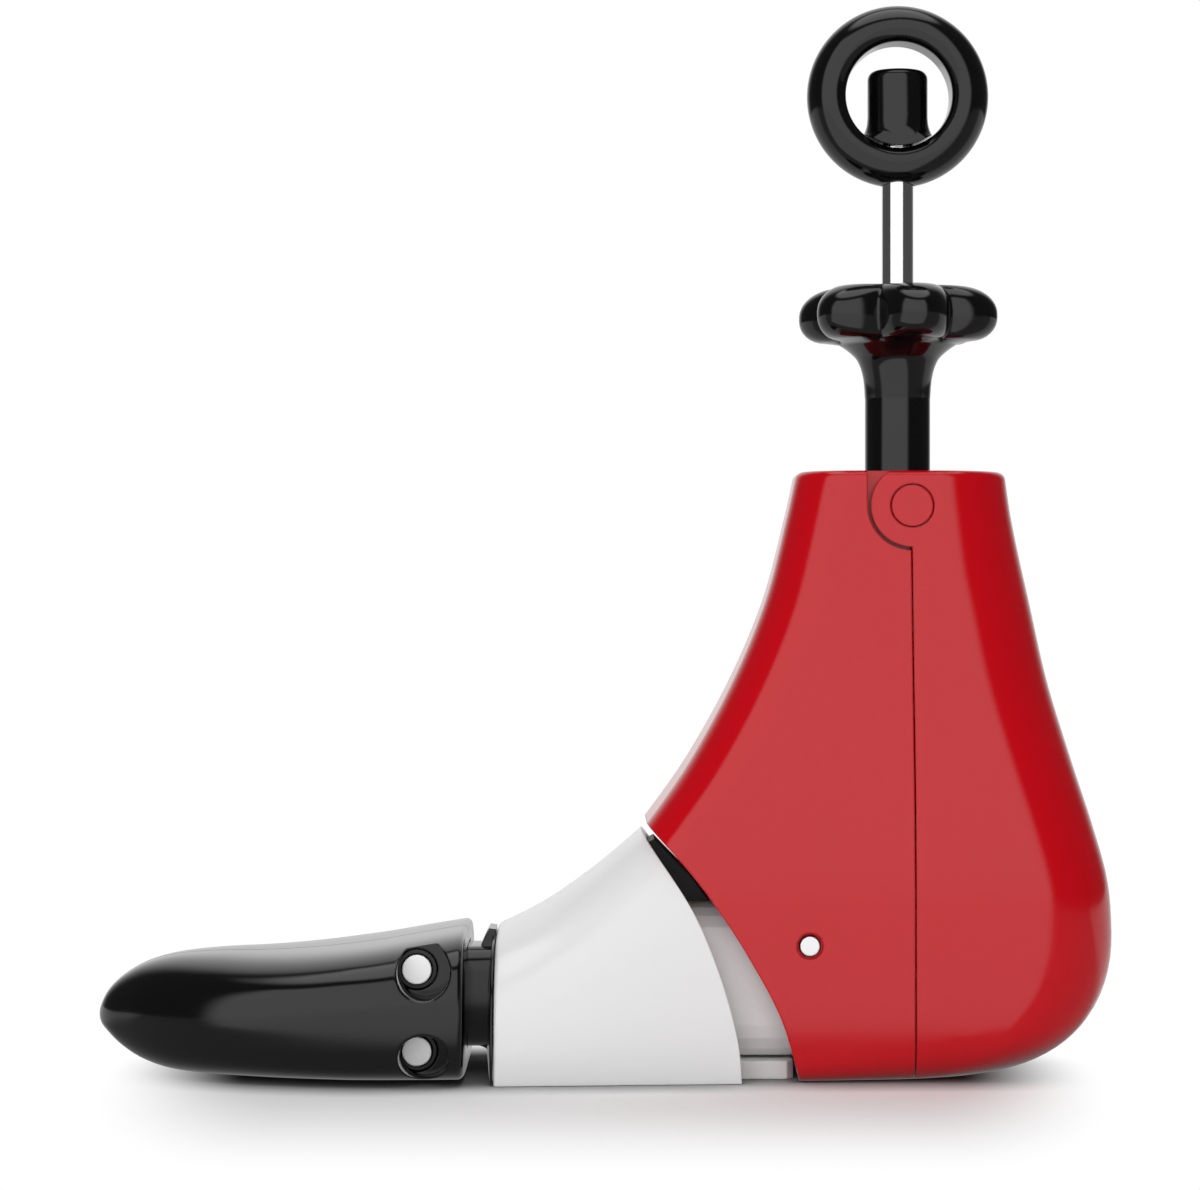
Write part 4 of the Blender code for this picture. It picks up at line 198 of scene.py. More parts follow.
class Skin:
    """A clean outer surface that gives a cut piece its smooth normals."""

    def __init__(self, rings: Sequence[Sequence[Point]], round_trip: bool = True) -> None:
        """Prepare the surface for look-ups.

        Args:
            rings: Rows with the same number of points.
            round_trip: Whether each row closes on itself.
        """
        count = len(rings[0])
        self.spots = [Vector(point) for ring in rings for point in ring]
        self.faces = []
        for row in range(len(rings) - 1):
            for i in range(count if round_trip else count - 1):
                j = (i + 1) % count
                near, far = row * count, (row + 1) * count
                self.faces += [(near + i, near + j, far + j), (near + i, far + j, far + i)]
        self.normals = [Vector() for _ in self.spots]
        for face in self.faces:
            a, b, c = (self.spots[k] for k in face)
            across = (b - a).cross(c - a)
            for k in face:
                self.normals[k] += across
        self.tree = BVHTree.FromPolygons(self.spots, self.faces)

    def normal_at(self, spot: Vector, reach: float) -> Vector | None:
        """The surface's normal next to a point.

        Args:
            spot: The point.
            reach: The farthest that the surface may lie from it.

        Returns:
            The normal, or None where the point lies off the surface.
        """
        place, _, face, _ = self.tree.find_nearest(spot, reach)
        if place is None:
            return None
        corners = self.faces[face]
        weights = poly_3d_calc([self.spots[k] for k in corners], place)
        found = sum((self.normals[k] * w for k, w in zip(corners, weights)), Vector())
        return found.normalized() if found.length > 0 else None


class Shape:
    """A closed solid under construction."""

    def __init__(self, mesh: bmesh.types.BMesh) -> None:
        """Take over a mesh.

        Args:
            mesh: The mesh, which is freed.
        """
        bmesh.ops.remove_doubles(mesh, verts=mesh.verts, dist=WELD)
        bmesh.ops.recalc_face_normals(mesh, faces=mesh.faces)
        data = bpy.data.meshes.new("shape")
        mesh.to_mesh(data)
        mesh.free()
        self.thing = bpy.data.objects.new("shape", data)
        bpy.context.scene.collection.objects.link(self.thing)

    @classmethod
    def loft(cls, rings: Sequence[Sequence[Point]], round_trip: bool = False) -> "Shape":
        """Skin a row of rings that have the same number of points.

        Args:
            rings: The rings.
            round_trip: Join the last ring to the first in place of end faces.

        Returns:
            The solid.
        """
        mesh = bmesh.new()
        rows = [[mesh.verts.new(point) for point in ring] for ring in rings]
        pairs = list(zip(rows, rows[1:])) + ([(rows[-1], rows[0])] if round_trip else [])
        for near, far in pairs:
            for i in range(len(near)):
                j = (i + 1) % len(near)
                mesh.faces.new((near[i], near[j], far[j], far[i]))
        bmesh.ops.triangulate(mesh, faces=mesh.faces)
        if not round_trip:
            mesh.faces.new(list(reversed(rows[0])))
            mesh.faces.new(rows[-1])
        return cls(mesh)

    @classmethod
    def box(cls, low: Point, high: Point) -> "Shape":
        """A box between two corners."""
        corners = [(low[0], low[1]), (high[0], low[1]), (high[0], high[1]), (low[0], high[1])]
        return cls.loft([[(x, y, z) for x, y in corners] for z in (low[2], high[2])])

    @classmethod
    def prism(cls, outline: Profile, low: float, high: float, plane: Plane = Plane.SIDE) -> "Shape":
        """Push a flat outline along the axis across it.

        Args:
            outline: The outline's points.
            low: Where the push starts.
            high: Where it ends.
            plane: The plane that the outline lies in.

        Returns:
            The solid.
        """
        places = {Plane.SIDE: lambda u, v, w: (u, w, v), Plane.PLAN: lambda u, v, w: (u, v, w),
                  Plane.FRONT: lambda u, v, w: (w, u, v)}
        return cls.loft([[places[plane](u, v, w) for u, v in outline] for w in (low, high)])

    @classmethod
    def crosswise(cls, x: float, z: float, low: float, high: float, radius: float,
                  sides: int = 64) -> "Shape":
        """A round bar along Y."""
        return cls.prism(arc(x, z, radius, 0, 360, sides)[:-1], low, high)

    @classmethod
    def upright(cls, x: float, y: float, low: float, high: float, radius: float,
                sides: int = 64) -> "Shape":
        """A round bar along Z."""
        return cls.prism(arc(x, y, radius, 0, 360, sides)[:-1], low, high, Plane.PLAN)

    def _change(self, tool: "Shape", kind: Change) -> "Shape":
        """Cut, join or bound this solid with another, which is used up.

        Args:
            tool: The other solid.
            kind: What it does.

        Returns:
            This solid.
        """
        boolean = self.thing.modifiers.new("change", "BOOLEAN")
        boolean.operation = kind.value
        boolean.solver = "EXACT"
        boolean.object = tool.thing
        graph = bpy.context.evaluated_depsgraph_get()
        changed = bpy.data.meshes.new_from_object(self.thing.evaluated_get(graph))
        self.thing.modifiers.clear()
        old = self.thing.data
        self.thing.data = changed
        bpy.data.meshes.remove(old)
        bpy.data.objects.remove(tool.thing, do_unlink=True)
        return self.weld()

    def weld(self) -> "Shape":
        """Close hairline gaps and drop slivers.

        Returns:
            This solid.
        """
        mesh = bmesh.new()
        mesh.from_mesh(self.thing.data)
        bmesh.ops.remove_doubles(mesh, verts=mesh.verts, dist=WELD)
        bmesh.ops.dissolve_degenerate(mesh, dist=WELD, edges=mesh.edges)
        mesh.to_mesh(self.thing.data)
        mesh.free()
        return self

    def cut(self, *tools: "Shape") -> "Shape":
        """Take other solids away.

        Args:
            tools: The other solids.

        Returns:
            This solid.
        """
        for tool in tools:
            self._change(tool, Change.CUT)
        return self

    def join(self, tool: "Shape") -> "Shape":
        """Add another solid."""
        return self._change(tool, Change.ADD)

    def keep_inside(self, tool: "Shape") -> "Shape":
        """Keep what lies inside another solid."""
        return self._change(tool, Change.KEEP)

    def mirrored(self) -> "Shape":
        """A copy on the other side of the middle plane.

        Returns:
            The copy.
        """
        mesh = bmesh.new()
        mesh.from_mesh(self.thing.data)
        bmesh.ops.scale(mesh, vec=(1.0, -1.0, 1.0), verts=mesh.verts)
        bmesh.ops.reverse_faces(mesh, faces=mesh.faces)
        return Shape(mesh)

    def smooth(self, skins: Sequence[Skin]) -> None:
        """Shade the solid smoothly, with the clean normals of the skins where it follows them.

        Args:
            skins: The surfaces that it follows.
        """
        data = self.weld().thing.data
        data.shade_smooth()
        data.set_sharp_from_angle(angle=SHARP_ANGLE)
        if not skins:
            return
        found = [[skin.normal_at(vertex.co, SKIN_REACH) for skin in skins] for vertex in data.vertices]
        normals = [Vector() for _ in data.loops]
        for face in data.polygons:
            for k in face.loop_indices:
                for normal in found[data.loops[k].vertex_index]:
                    lean = normal.dot(face.normal) if normal else 0.0
                    if abs(lean) > SAME_WAY:
                        normals[k] = normal if lean > 0 else -normal
                        break
        data.normals_split_custom_set([tuple(normal) for normal in normals])

    def settle(self, name: str, finish: "Finish", body: str, nodes: Sequence[str],
               skins: Sequence[Skin] = ()) -> bpy.types.Object:
        """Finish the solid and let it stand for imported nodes.

        Args:
            name: The piece's name.
            finish: Its finish.
            body: The body that it rides on.
            nodes: The nodes that it stands for.
            skins: Surfaces that give it smooth normals.

        Returns:
            The finished piece.
        """
        self.smooth(skins)
        self.thing.name = name
        self.thing.data.name = name
        self.thing.data.materials.clear()
        self.thing.data.materials.append(finish.material())
        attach(self.thing, body)
        if nodes:
            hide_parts(*nodes)
        return self.thing


@dataclass
class Wire:
    """A shader socket that takes part in Python sums.

    Args:
        graph: The graph that the socket belongs to.
        socket: The output socket.
    """

    graph: "Graph"
    socket: Any

    def math(self, kind: str, *values: Any) -> "Wire":
        """Add a Math node of a kind, fed with the values, and return its result."""
        return self.graph.node("ShaderNodeMath", {"operation": kind}, dict(enumerate(values)))

    def __add__(self, other: Any) -> "Wire":
        """Sum of two values."""
        return self.math("ADD", self, other)

    __radd__ = __add__

    def __sub__(self, other: Any) -> "Wire":
        """Difference of two values."""
        return self.math("SUBTRACT", self, other)

    def __rsub__(self, other: Any) -> "Wire":
        """Difference with a plain number on the left."""
        return self.math("SUBTRACT", other, self)

    def __mul__(self, other: Any) -> "Wire":
        """Product of two values."""
        return self.math("MULTIPLY", self, other)

    __rmul__ = __mul__

    def step(self, low: float, high: float) -> "Wire":
        """Rise smoothly from 0 at low to 1 at high.

        Args:
            low: Value where the rise starts.
            high: Value where it ends.

        Returns:
            A value from 0 to 1.
        """
        return self.graph.node("ShaderNodeMapRange", {"interpolation_type": "SMOOTHSTEP", "clamp": True},
                               {"Value": self, "From Min": low, "From Max": high})

    def higher(self, other: Any) -> "Wire":
        """The larger of two values."""
        return self.math("MAXIMUM", self, other)

    def size(self) -> "Wire":
        """The value without its sign."""
        return self.math("ABSOLUTE", self)

    def root(self) -> "Wire":
        """The square root."""
        return self.math("SQRT", self)


@dataclass
class Graph:
    """Adds nodes to one node tree.

    Args:
        tree: The tree of a material or world.
    """

    tree: bpy.types.NodeTree

    def node(self, kind: str, settings: dict[str, Any], inputs: dict[Any, Any], output: Any = 0) -> Wire:
        """Add a node.

        Args:
            kind: The node's type.
            settings: Its own options, set first.
            inputs: A value or a wire for each named or numbered socket.
            output: The name or number of the socket to return.

        Returns:
            The chosen output as a wire, empty for a node that has no output.
        """
        made = self.tree.nodes.new(kind)
        for name, value in settings.items():
            setattr(made, name, value)
        for name, value in inputs.items():
            self.feed(made.inputs[name], value)
        return Wire(self, made.outputs[output] if len(made.outputs) else None)

    def feed(self, socket: Any, value: Any) -> None:
        """Link a wire to a socket, or set the socket to a plain value.

        Args:
            socket: The input socket.
            value: The wire or the value.
        """
        if isinstance(value, Wire):
            self.tree.links.new(value.socket, socket)
        else:
            socket.default_value = value

    def mix(self, share: Any, low: Any, high: Any) -> Wire:
        """Mix two colours: a share of 0 gives the first and 1 the second.

        Args:
            share: How far the second colour takes over.
            low: First colour, four numbers or a wire.
            high: Second colour.

        Returns:
            The mixed colour.
        """
        factor, first, second, result = 0, 6, 7, 2
        return self.node("ShaderNodeMix", {"data_type": "RGBA"}, {factor: share, first: low, second: high},
                         result)

    def place(self) -> Wire:
        """The point on the object, in metres."""
        return self.node("ShaderNodeTexCoord", {}, {}, "Object")

    def split(self, vector: Wire) -> list[Wire]:
        """The three parts of a vector."""
        first = self.node("ShaderNodeSeparateXYZ", {}, {0: vector})
        return [Wire(self, socket) for socket in first.socket.node.outputs]

    def ray(self, kind: str) -> Wire:
        """1 for rays of one kind, such as Camera or Glossy, and 0 for all others."""
        return self.node("ShaderNodeLightPath", {}, {}, f"Is {kind} Ray")

    def noise(self, scale: float, detail: float = 2.0, spot: Wire | None = None) -> Wire:
        """Soft noise from 0 to 1.

        Args:
            scale: Blobs in a metre.
            detail: How many finer layers are added.
            spot: Where the noise is read, or None for the point on the object.

        Returns:
            The noise value.
        """
        inputs = {"Vector": spot or self.place(), "Scale": scale, "Detail": detail}
        return self.node("ShaderNodeTexNoise", {}, inputs)


@dataclass(frozen=True)
class Finish:
    """A moulded or machined surface.

    Args:
        name: The material's name.
        slot: The record's material slot; not used.
        colour: Its colour, linear.
        roughness: Mean roughness.
        metallic: 1 for bare metal.
        coat: Strength of the clear gloss on top.
        coat_roughness: Roughness of that gloss.
        refraction: How strongly the surface bends light.
        edge: Radius that sharp edges are softened to.
        edge_rays: Rays that look for an edge.
        ripple: Height of the moulding ripple or grain.
        ripple_scale: Ripples in a metre.
        ripple_strength: How strongly the ripple shows.
        haze: How far the roughness wanders.
        broad: Blobs in a metre of the broad noise behind haze and tone.
        fine: Blobs in a metre of the fine noise behind the haze.
        tone: How far the colour wanders towards the second colour.
        tone_ends: Broad noise where the second colour starts and is full.
        second: The second colour.
    """

    name: str
    slot: str
    colour: Point
    roughness: float
    metallic: float = 0.0
    coat: float = 0.0
    coat_roughness: float = 0.03
    refraction: float = 1.48
    edge: float = 0.5 * MM
    edge_rays: int = 6
    ripple: float = 0.01 * MM
    ripple_scale: float = 90.0
    ripple_strength: float = 1.0
    haze: float = 0.04
    broad: float = 35.0
    fine: float = 220.0
    tone: float = 0.0
    tone_ends: tuple[float, float] = (0.3, 0.75)
    second: Point = (0.5, 0.5, 0.5)

    def material(self) -> bpy.types.Material:
        """The material, made on first use.

        Returns:
            The finished material.
        """
        found = bpy.data.materials.get(self.name)
        if found:
            return found
        made = bpy.data.materials.new(self.name)
        made.use_nodes = True
        graph = Graph(made.node_tree)
        broad, fine = graph.noise(self.broad, 3.0), graph.noise(self.fine)
        values = {"Metallic": self.metallic, "Coat Weight": self.coat, "Coat Roughness": self.coat_roughness,
                  "IOR": self.refraction, "Normal": self.relief(graph),
                  "Roughness": self.roughness + (broad - 0.5) * self.haze + (fine - 0.5) * (self.haze / 2),
                  "Base Color": graph.mix(broad.step(*self.tone_ends) * self.tone, (*self.colour, 1.0),
                                          (*self.second, 1.0))}
        shader = made.node_tree.nodes["Principled BSDF"]
        for name, value in values.items():
            graph.feed(shader.inputs[name], value)
        return made

    def relief(self, graph: Graph) -> Wire:
        """The surface's normal: soft edges with the grain on top.

        Args:
            graph: The graph to add to.

        Returns:
            The normal.
        """
        soft = graph.node("ShaderNodeBevel", {"samples": self.edge_rays}, {"Radius": self.edge})
        inputs = {"Height": self.grain(graph), "Normal": soft, "Strength": self.ripple_strength,
                  "Distance": self.ripple}
        return graph.node("ShaderNodeBump", {}, inputs)

    def grain(self, graph: Graph) -> Wire:
        """The height of the moulding ripple."""
        return graph.noise(self.ripple_scale)


@dataclass(frozen=True)
class BrushedFinish(Finish):
    """Bare metal with fine turning or grinding lines.

    Args:
        lines: Lines in a metre.
        stretch: How the lines run, as a scale along each axis.
    """

    metallic: float = 1.0
    edge: float = 0.3 * MM
    edge_rays: int = 4
    ripple_strength: float = 0.6
    lines: float = 900.0
    stretch: Point = (1.0, 1.0, 0.05)

    def grain(self, graph: Graph) -> Wire:
        """The height of the fine lines."""
        spot = graph.node("ShaderNodeMapping", {}, {"Vector": graph.place(), "Scale": self.stretch})
        return graph.noise(self.lines, spot=spot)


RED_GLOSS = Finish("red_gloss_shell", "red_gloss", (0.64, 0.0014, 0.0085), 0.12, coat=0.04, edge=0.7 * MM,
                   ripple_scale=60.0, haze=0.03, tone=0.3, second=(0.60, 0.0012, 0.007))
BLACK_GLOSS = Finish("black_gloss_moulding", "black_gloss", (0.0030, 0.0030, 0.0034), 0.11, coat=0.04,
                     ripple=0.008 * MM, haze=0.03, tone=0.5, second=(0.0042, 0.0042, 0.0046))
BLACK_BUSH = Finish("black_bush_moulding", "black_gloss", (0.006, 0.006, 0.0065), 0.35, edge=0.3 * MM,
                    haze=0.06)
WHITE_GLOSS = Finish("white_gloss_shell", "white_gloss", (0.955, 0.955, 0.957), 0.22, coat=0.25, tone=0.3,
                     second=(0.94, 0.94, 0.941))
GREY_PLASTIC = Finish("light_grey_moulding", "grey_plastic", (0.93, 0.93, 0.93), 0.34, edge=0.6 * MM,
                      ripple=0.02 * MM, ripple_scale=400.0, haze=0.06, tone=0.3, second=(0.90, 0.90, 0.90))
# Near-black moulding for the inner spacers and the ramp. It is also used as painted shade on the sheet over
# the core.
DARK_PLASTIC_AND_SHADE = Finish("dark_moulding_and_painted_shade", "dark_plastic", (0.02, 0.02, 0.022), 0.45, edge=0.4 * MM,
                      ripple=0.02 * MM, ripple_scale=500.0, haze=0.08)
CHROME = BrushedFinish("polished_steel_rod", "polished_steel", (0.86, 0.86, 0.88), 0.06, ripple=0.002 * MM,
                       haze=0.03, lines=700.0)
PIN_STEEL = BrushedFinish("ground_pin_steel", "polished_steel", (0.97, 0.97, 0.975), 0.46, edge=0.4 * MM,
                          ripple=0.003 * MM, haze=0.05, stretch=(1.0, 0.05, 1.0))
PLAIN_STEEL = BrushedFinish("plain_steel_inner", "plain_steel", (0.50, 0.51, 0.53), 0.32, ripple=0.006 * MM,
                            haze=0.10, tone=0.4, second=(0.38, 0.39, 0.41))
BRASS = BrushedFinish("turned_brass", "brass", (0.70, 0.50, 0.20), 0.30, ripple=0.005 * MM, haze=0.10,
                      tone=0.5, second=(0.50, 0.33, 0.12))

Dressing = tuple[tuple[Finish, tuple[str, ...]], ...]


@dataclass
class Assembly:
    """One sub-assembly of the stretcher.

    Args:
        inner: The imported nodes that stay, under their finishes.
    """

    inner: Dressing = ()

    def build(self) -> list[bpy.types.Object]:
        """Make the sub-assembly's own pieces, none unless a sub-assembly says otherwise."""
        return []

    def dress(self) -> None:
        """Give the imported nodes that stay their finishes."""
        for finish, names in self.inner:
            for thing in (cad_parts[name] for name in names):
                if not thing.data.materials:
                    thing.data.materials.append(finish.material())
                for holder in thing.material_slots:
                    holder.material = finish.material()


@dataclass(frozen=True)
class ScrewLine:
    """The upright line of knob, hollow screw and rod, and the sizes that several sub-assemblies share.

    Args:
        x: Where the line stands.
        rod: The rod's radius.
        sleeve: The knob sleeve's radius.
        seat: Gap between pieces that sit together.
        running: Gap between pieces that turn or slide.
        over: How far cutters run past what they cut.
        guide_x: Where the guide pins stand.
        guides: Their heights.
    """

    x: float = 70.9 * MM
    rod: float = 3.8 * MM
    sleeve: float = 7.8 * MM
    seat: float = 0.3 * MM
    running: float = 0.45 * MM
    over: float = 6.0 * MM
    guide_x: float = -43.0 * MM
    guides: tuple[float, float] = (26.0 * MM, 7.0 * MM)


LINE = ScrewLine()


@dataclass
class HeelBlock(Assembly):
    """The two heel shells with hinge, ankle pin and the frame inside."""

    height: float = 142.2 * MM
    wall: float = 2.8 * MM
    half_width: float = 31.0 * MM
    top_half_width: float = 19.2 * MM
    back_x: float = 120.5 * MM
    top_setback: float = 24.2 * MM
    top_length: float = 50.0 * MM
    front_reach: float = 54.5 * MM
    front_radius: float = 14.0 * MM
    back_radius: float = 20.0 * MM
    bulge_height: float = 33.0 * MM
    flat_inset: float = 35.5 * MM
    base_front_radius: float = 4.0 * MM
    base_back_radius: float = 13.0 * MM
    base_power: float = 2.2
    rim_radius: float = 1.7 * MM
    hinge: tuple[float, float] = (72.8 * MM, 133.9 * MM)
    knuckle_radius: float = 9.7 * MM
    knuckle_gap: float = 0.8 * MM
    knuckle_inner: float = 15.5 * MM
    cheek: float = 3.0 * MM
    cheek_drop: float = 14.5 * MM
    hinge_pin: float = 2.6 * MM
    cap_radius: float = 4.85 * MM
    cap_depth: float = 1.6 * MM
    parting_x: float = 72.6 * MM
    collar_bore: float = 8.4 * MM
    collar_reach: float = 8.6 * MM
    ankle: tuple[float, float] = (48.1 * MM, 31.6 * MM)
    ankle_pin: float = 2.25 * MM
    ankle_hole: float = 3.05 * MM
    ankle_recess: float = 1.4 * MM
    overlap: float = 0.01 * MM
    cheek_lead: float = 4.0 * MM
    cheek_setback: float = 0.2 * MM
    cheek_room: float = 2.0 * MM
    collar_room: float = 1.7 * MM
    edge_lap: float = 0.4 * MM
    corner_steps: int = 16
    side_steps: int = 12
    cutter_start: tuple[float, float] = (12.0 * MM, 12.5 * MM)  # before the slanted edge's top and over it
    screw: Point = (14.4 * MM, 7.0 * MM, 11.2 * MM)  # before the line, beside it and below the top
    screw_boss: float = 3.5 * MM
    screw_bore: tuple[float, float] = (1.8 * MM, 6.3 * MM)  # its radius and its depth
    notch: Point = (58.4 * MM, 24.45 * MM, 4.8 * MM)  # where it ends, half its width and its height
    ribs: tuple[float, float] = (4.8 * MM, 7.4 * MM)
    rib_drop: float = 43.2 * MM
    rib_height: float = 37.5 * MM
    rib_depth: float = 9.0 * MM
    outline: tuple[tuple[float, ...], ...] = (
        (1.000, 0.000, 0.000, 0.00), (0.920, 0.046, 0.070, 0.03), (0.785, 0.138, 0.236, 0.22),
        (0.650, 0.284, 0.400, 0.48), (0.515, 0.477, 0.628, 0.75), (0.414, 0.661, 0.814, 0.90),
        (0.320, 0.845, 0.960, 0.98), (0.232, 0.950, 1.000, 1.00), (0.120, 1.000, 1.000, 1.00),
        (0.000, 1.000, 1.000, 1.00))
    front_edge: tuple[tuple[float, float], ...] = (
        (0.6972, 0.4191), (0.5413, 0.3558), (0.4092, 0.2911), (0.2679, 0.2082), (0.1248, 0.1055),
        (0.0404, 0.0))
    inner: Dressing = ((PLAIN_STEEL, ("screw_frame", "frame_screw_left", "frame_screw_right", "ramp_pin")),
                       (BRASS, ("length_nut", "width_nut")), (PIN_STEEL, ("ankle_pin",)),
                       (DARK_PLASTIC_AND_SHADE, ("ankle_spacer_left", "ankle_spacer_right", "heel_ramp")))

    def back(self, z: float) -> float:
        """Where the heel's back stands.

        Args:
            z: The height to look at.

        Returns:
            The place along X.
        """
        if z < self.bulge_height:
            share = (self.bulge_height - max(z, 0.0)) / self.bulge_height
            reach = (1 - share ** self.base_power) ** (1 / self.base_power)
            return self.back_x - self.flat_inset * (1 - reach)
        share = smooth_between(self.outline, z / self.height)[1]
        return self.back_x - self.top_setback * (1 - share)

    def front(self, z: float) -> float:
        """Where the heel's front stands at a height, run on behind the cut edge."""
        share = smooth_between(self.outline, z / self.height)[0]
        return self.back_x - self.top_setback - self.top_length - self.front_reach * share

    def half(self, z: float) -> float:
        """Half the heel's width at a height."""
        share = smooth_between(self.outline, z / self.height)[2]
        return self.top_half_width + (self.half_width - self.top_half_width) * share

    def base_inset(self, x: float, z: float) -> float:
        """How far the side turns in near the floor, more towards the back.

        Args:
            x: The place along the heel.
            z: The height.

        Returns:
            The inset.
        """
        run = self.back_x - self.base_back_radius - self.ankle[0]
        share = min(max((x - self.ankle[0]) / run, 0.0), 1.0)
        radius = self.base_front_radius + (self.base_back_radius - self.base_front_radius) * share
        return rounding(z, radius)

    def ring(self, z: float, inset: float, corner_steps: int, side_steps: int) -> list[Point]:
        """One level section: straight sides with a rounded front and back.

        Args:
            z: Its height.
            inset: How far it lies inside the outer surface.
            corner_steps: Steps round each corner.
            side_steps: Steps along each side.

        Returns:
            The section's points.
        """
        front, back, half = self.front(z) + inset, self.back(z) - inset, self.half(z) - inset
        front_radius = min(self.front_radius - inset, half * WIDEST_CORNER)
        back_radius = min(self.back_radius - inset, half * WIDEST_CORNER)
        side = arc(back - back_radius, half - back_radius, back_radius, 0, 90, corner_steps)
        start, end = back - back_radius, front + front_radius
        side += [(x, half) for x in even(start, end, side_steps)[1:-1]]
        side += arc(front + front_radius, half - front_radius, front_radius, 90, 180, corner_steps)
        near = [(x, y - self.base_inset(x, z) * y / half) for x, y in side]
        return [(x, y, z) for x, y in near + [(x, -y) for x, y in reversed(near)]]

    def outer_rings(self) -> list[list[Point]]:
        """The fine sections of the heel's outside, with its rounded top rim.

        Returns:
            The sections from the floor up.
        """
        low, top = self.base_back_radius, self.height - self.rim_radius
        levels = [(z, 0.0) for z in edge_depths(low, 12)[:-1] + even(low, top, 44)[:-1]]
        levels += [(self.height - depth, rounding(depth, self.rim_radius))
                   for depth in reversed(edge_depths(self.rim_radius, 6))]
        return [self.ring(z, inset, self.corner_steps, self.side_steps) for z, inset in levels]

    def solid(self) -> Shape:
        """The heel's outer form as one solid."""
        return Shape.loft(self.outer_rings())

    def hollow(self) -> Shape:
        """The space inside the heel's walls."""
        heights = even(self.wall, self.height - self.wall, 20)
        return Shape.loft([self.ring(z, self.wall, 8, 4) for z in heights])

    def walls(self, low_x: float, high_x: float) -> Shape:
        """The hollow heel between two upright cuts.

        Args:
            low_x: Where the front cut stands.
            high_x: Where the back cut stands.

        Returns:
            The walls.
        """
        half = self.half_width + LINE.over
        part = Shape.box((low_x, -half, -LINE.over), (high_x, half, self.height + LINE.over))
        return self.solid().cut(self.hollow()).keep_inside(part)

    def bar(self, place: tuple[float, float], low: float, high: float, radius: float, side: int) -> Shape:
        """A round bar across one side of the heel, with its ends given without sign."""
        return Shape.crosswise(*place, *beside(side, low, high), radius, 96)

    def block(self, low_x: float, high_x: float, inner: float, outer: float, low_z: float, high_z: float,
              side: int) -> Shape:
        """A box on one side of the heel, with its Y places given without sign."""
        low_y, high_y = beside(side, inner, outer)
        return Shape.box((low_x, low_y, low_z), (high_x, high_y, high_z))

    def knuckle_room(self, side: int) -> Shape:
        """What the knuckle and the rear shell need beside the front shell's cheek.

        Args:
            side: -1 or 1.

        Returns:
            The room as a cutter.
        """
        inner, outer = self.knuckle_inner - LINE.seat, self.half_width + LINE.over
        radius = self.knuckle_radius + self.knuckle_gap
        x, z = self.hinge
        room = self.bar(self.hinge, inner, outer, radius, side)
        room.join(self.block(x - radius, x + radius, inner, outer, z, self.height + LINE.over, side))
        return room.join(self.block(self.parting_x - LINE.seat / 2, self.back_x + LINE.over, inner, outer,
                                    z - 3 * self.cheek_drop, self.height + LINE.over - MM, side))

    def edge_cutter(self) -> Shape:
        """Everything in front of the front shell's slanted lower edge.

        Returns:
            The cutter.
        """
        edge = [(self.ankle[0] - before * self.front_reach, up * self.height)
                for before, up in smooth_line(self.front_edge, 14)]
        far = self.front(0.0) - LINE.over
        rise = edge[0][1] + self.cutter_start[1]
        outline = [(edge[0][0] - self.cutter_start[0], rise)] + edge
        outline += [(edge[-1][0] + self.edge_lap, -LINE.over), (far, -LINE.over), (far, rise)]
        half = self.half_width + LINE.over
        return Shape.prism(outline, -half, half)

    def front_shell(self) -> Shape:
        """The fixed front half of the heel, with collar, cheeks and screw bosses.

        Returns:
            The shell.
        """
        low_x, half = self.front(0.0) - LINE.over, self.half_width + LINE.over
        shell = self.walls(low_x, self.parting_x - LINE.seat / 2)
        x, z = self.hinge
        cheek_outer = self.knuckle_inner - LINE.seat
        cheek_inner = cheek_outer - self.cheek
        cheek_front = x - self.knuckle_radius - self.knuckle_gap - self.cheek_lead
        collar_back = LINE.x + self.collar_reach
        under = self.height - self.wall / 2
        for side in SIDES:
            shell.join(self.block(cheek_front, collar_back - self.cheek_setback, cheek_inner,
                                  self.half(z) - self.wall / 2, z - self.cheek_drop, under, side))
        lip = self.overlap
        shell.join(Shape.box((self.parting_x - MM, -cheek_outer + lip, self.height - self.wall + 5 * lip),
                             (collar_back, cheek_outer - lip, self.height - 5 * lip)))
        for side in SIDES:
            shell.cut(self.knuckle_room(side)).join(self.screw_tube(under, side))
            shell.cut(self.bar(self.hinge, cheek_inner - 3 * MM, half, self.hinge_pin + LINE.seat, side))
        shell.cut(self.edge_cutter())
        shell.cut(Shape.upright(LINE.x, 0.0, z - 2 * self.cheek_drop, self.height + LINE.over,
                                self.collar_bore, 96))
        notch_x, notch_half, notch_top = self.notch
        shell.cut(Shape.box((low_x, -notch_half, -LINE.over), (notch_x, notch_half, notch_top)))
        shell.cut(Shape.crosswise(*self.ankle, -half, half, self.ankle_pin + LINE.seat))
        for side in SIDES:
            face = self.half(self.ankle[1]) - self.ankle_recess
            shell.cut(self.bar(self.ankle, face, half, self.ankle_hole, side))
        return shell

    def screw_tube(self, top: float, side: int) -> Shape:
        """A bored boss under the shell's top for a frame screw.

        Args:
            top: Where it joins the shell.
            side: -1 or 1.

        Returns:
            The boss.
        """
        before, out, drop = self.screw
        x, y, low = LINE.x - before, side * out, self.height - drop
        bore, depth = self.screw_bore
        tube = Shape.upright(x, y, low + LINE.seat, top, self.screw_boss, 30)
        return tube.cut(Shape.upright(x, y, low - MM, low + depth, bore, 22))

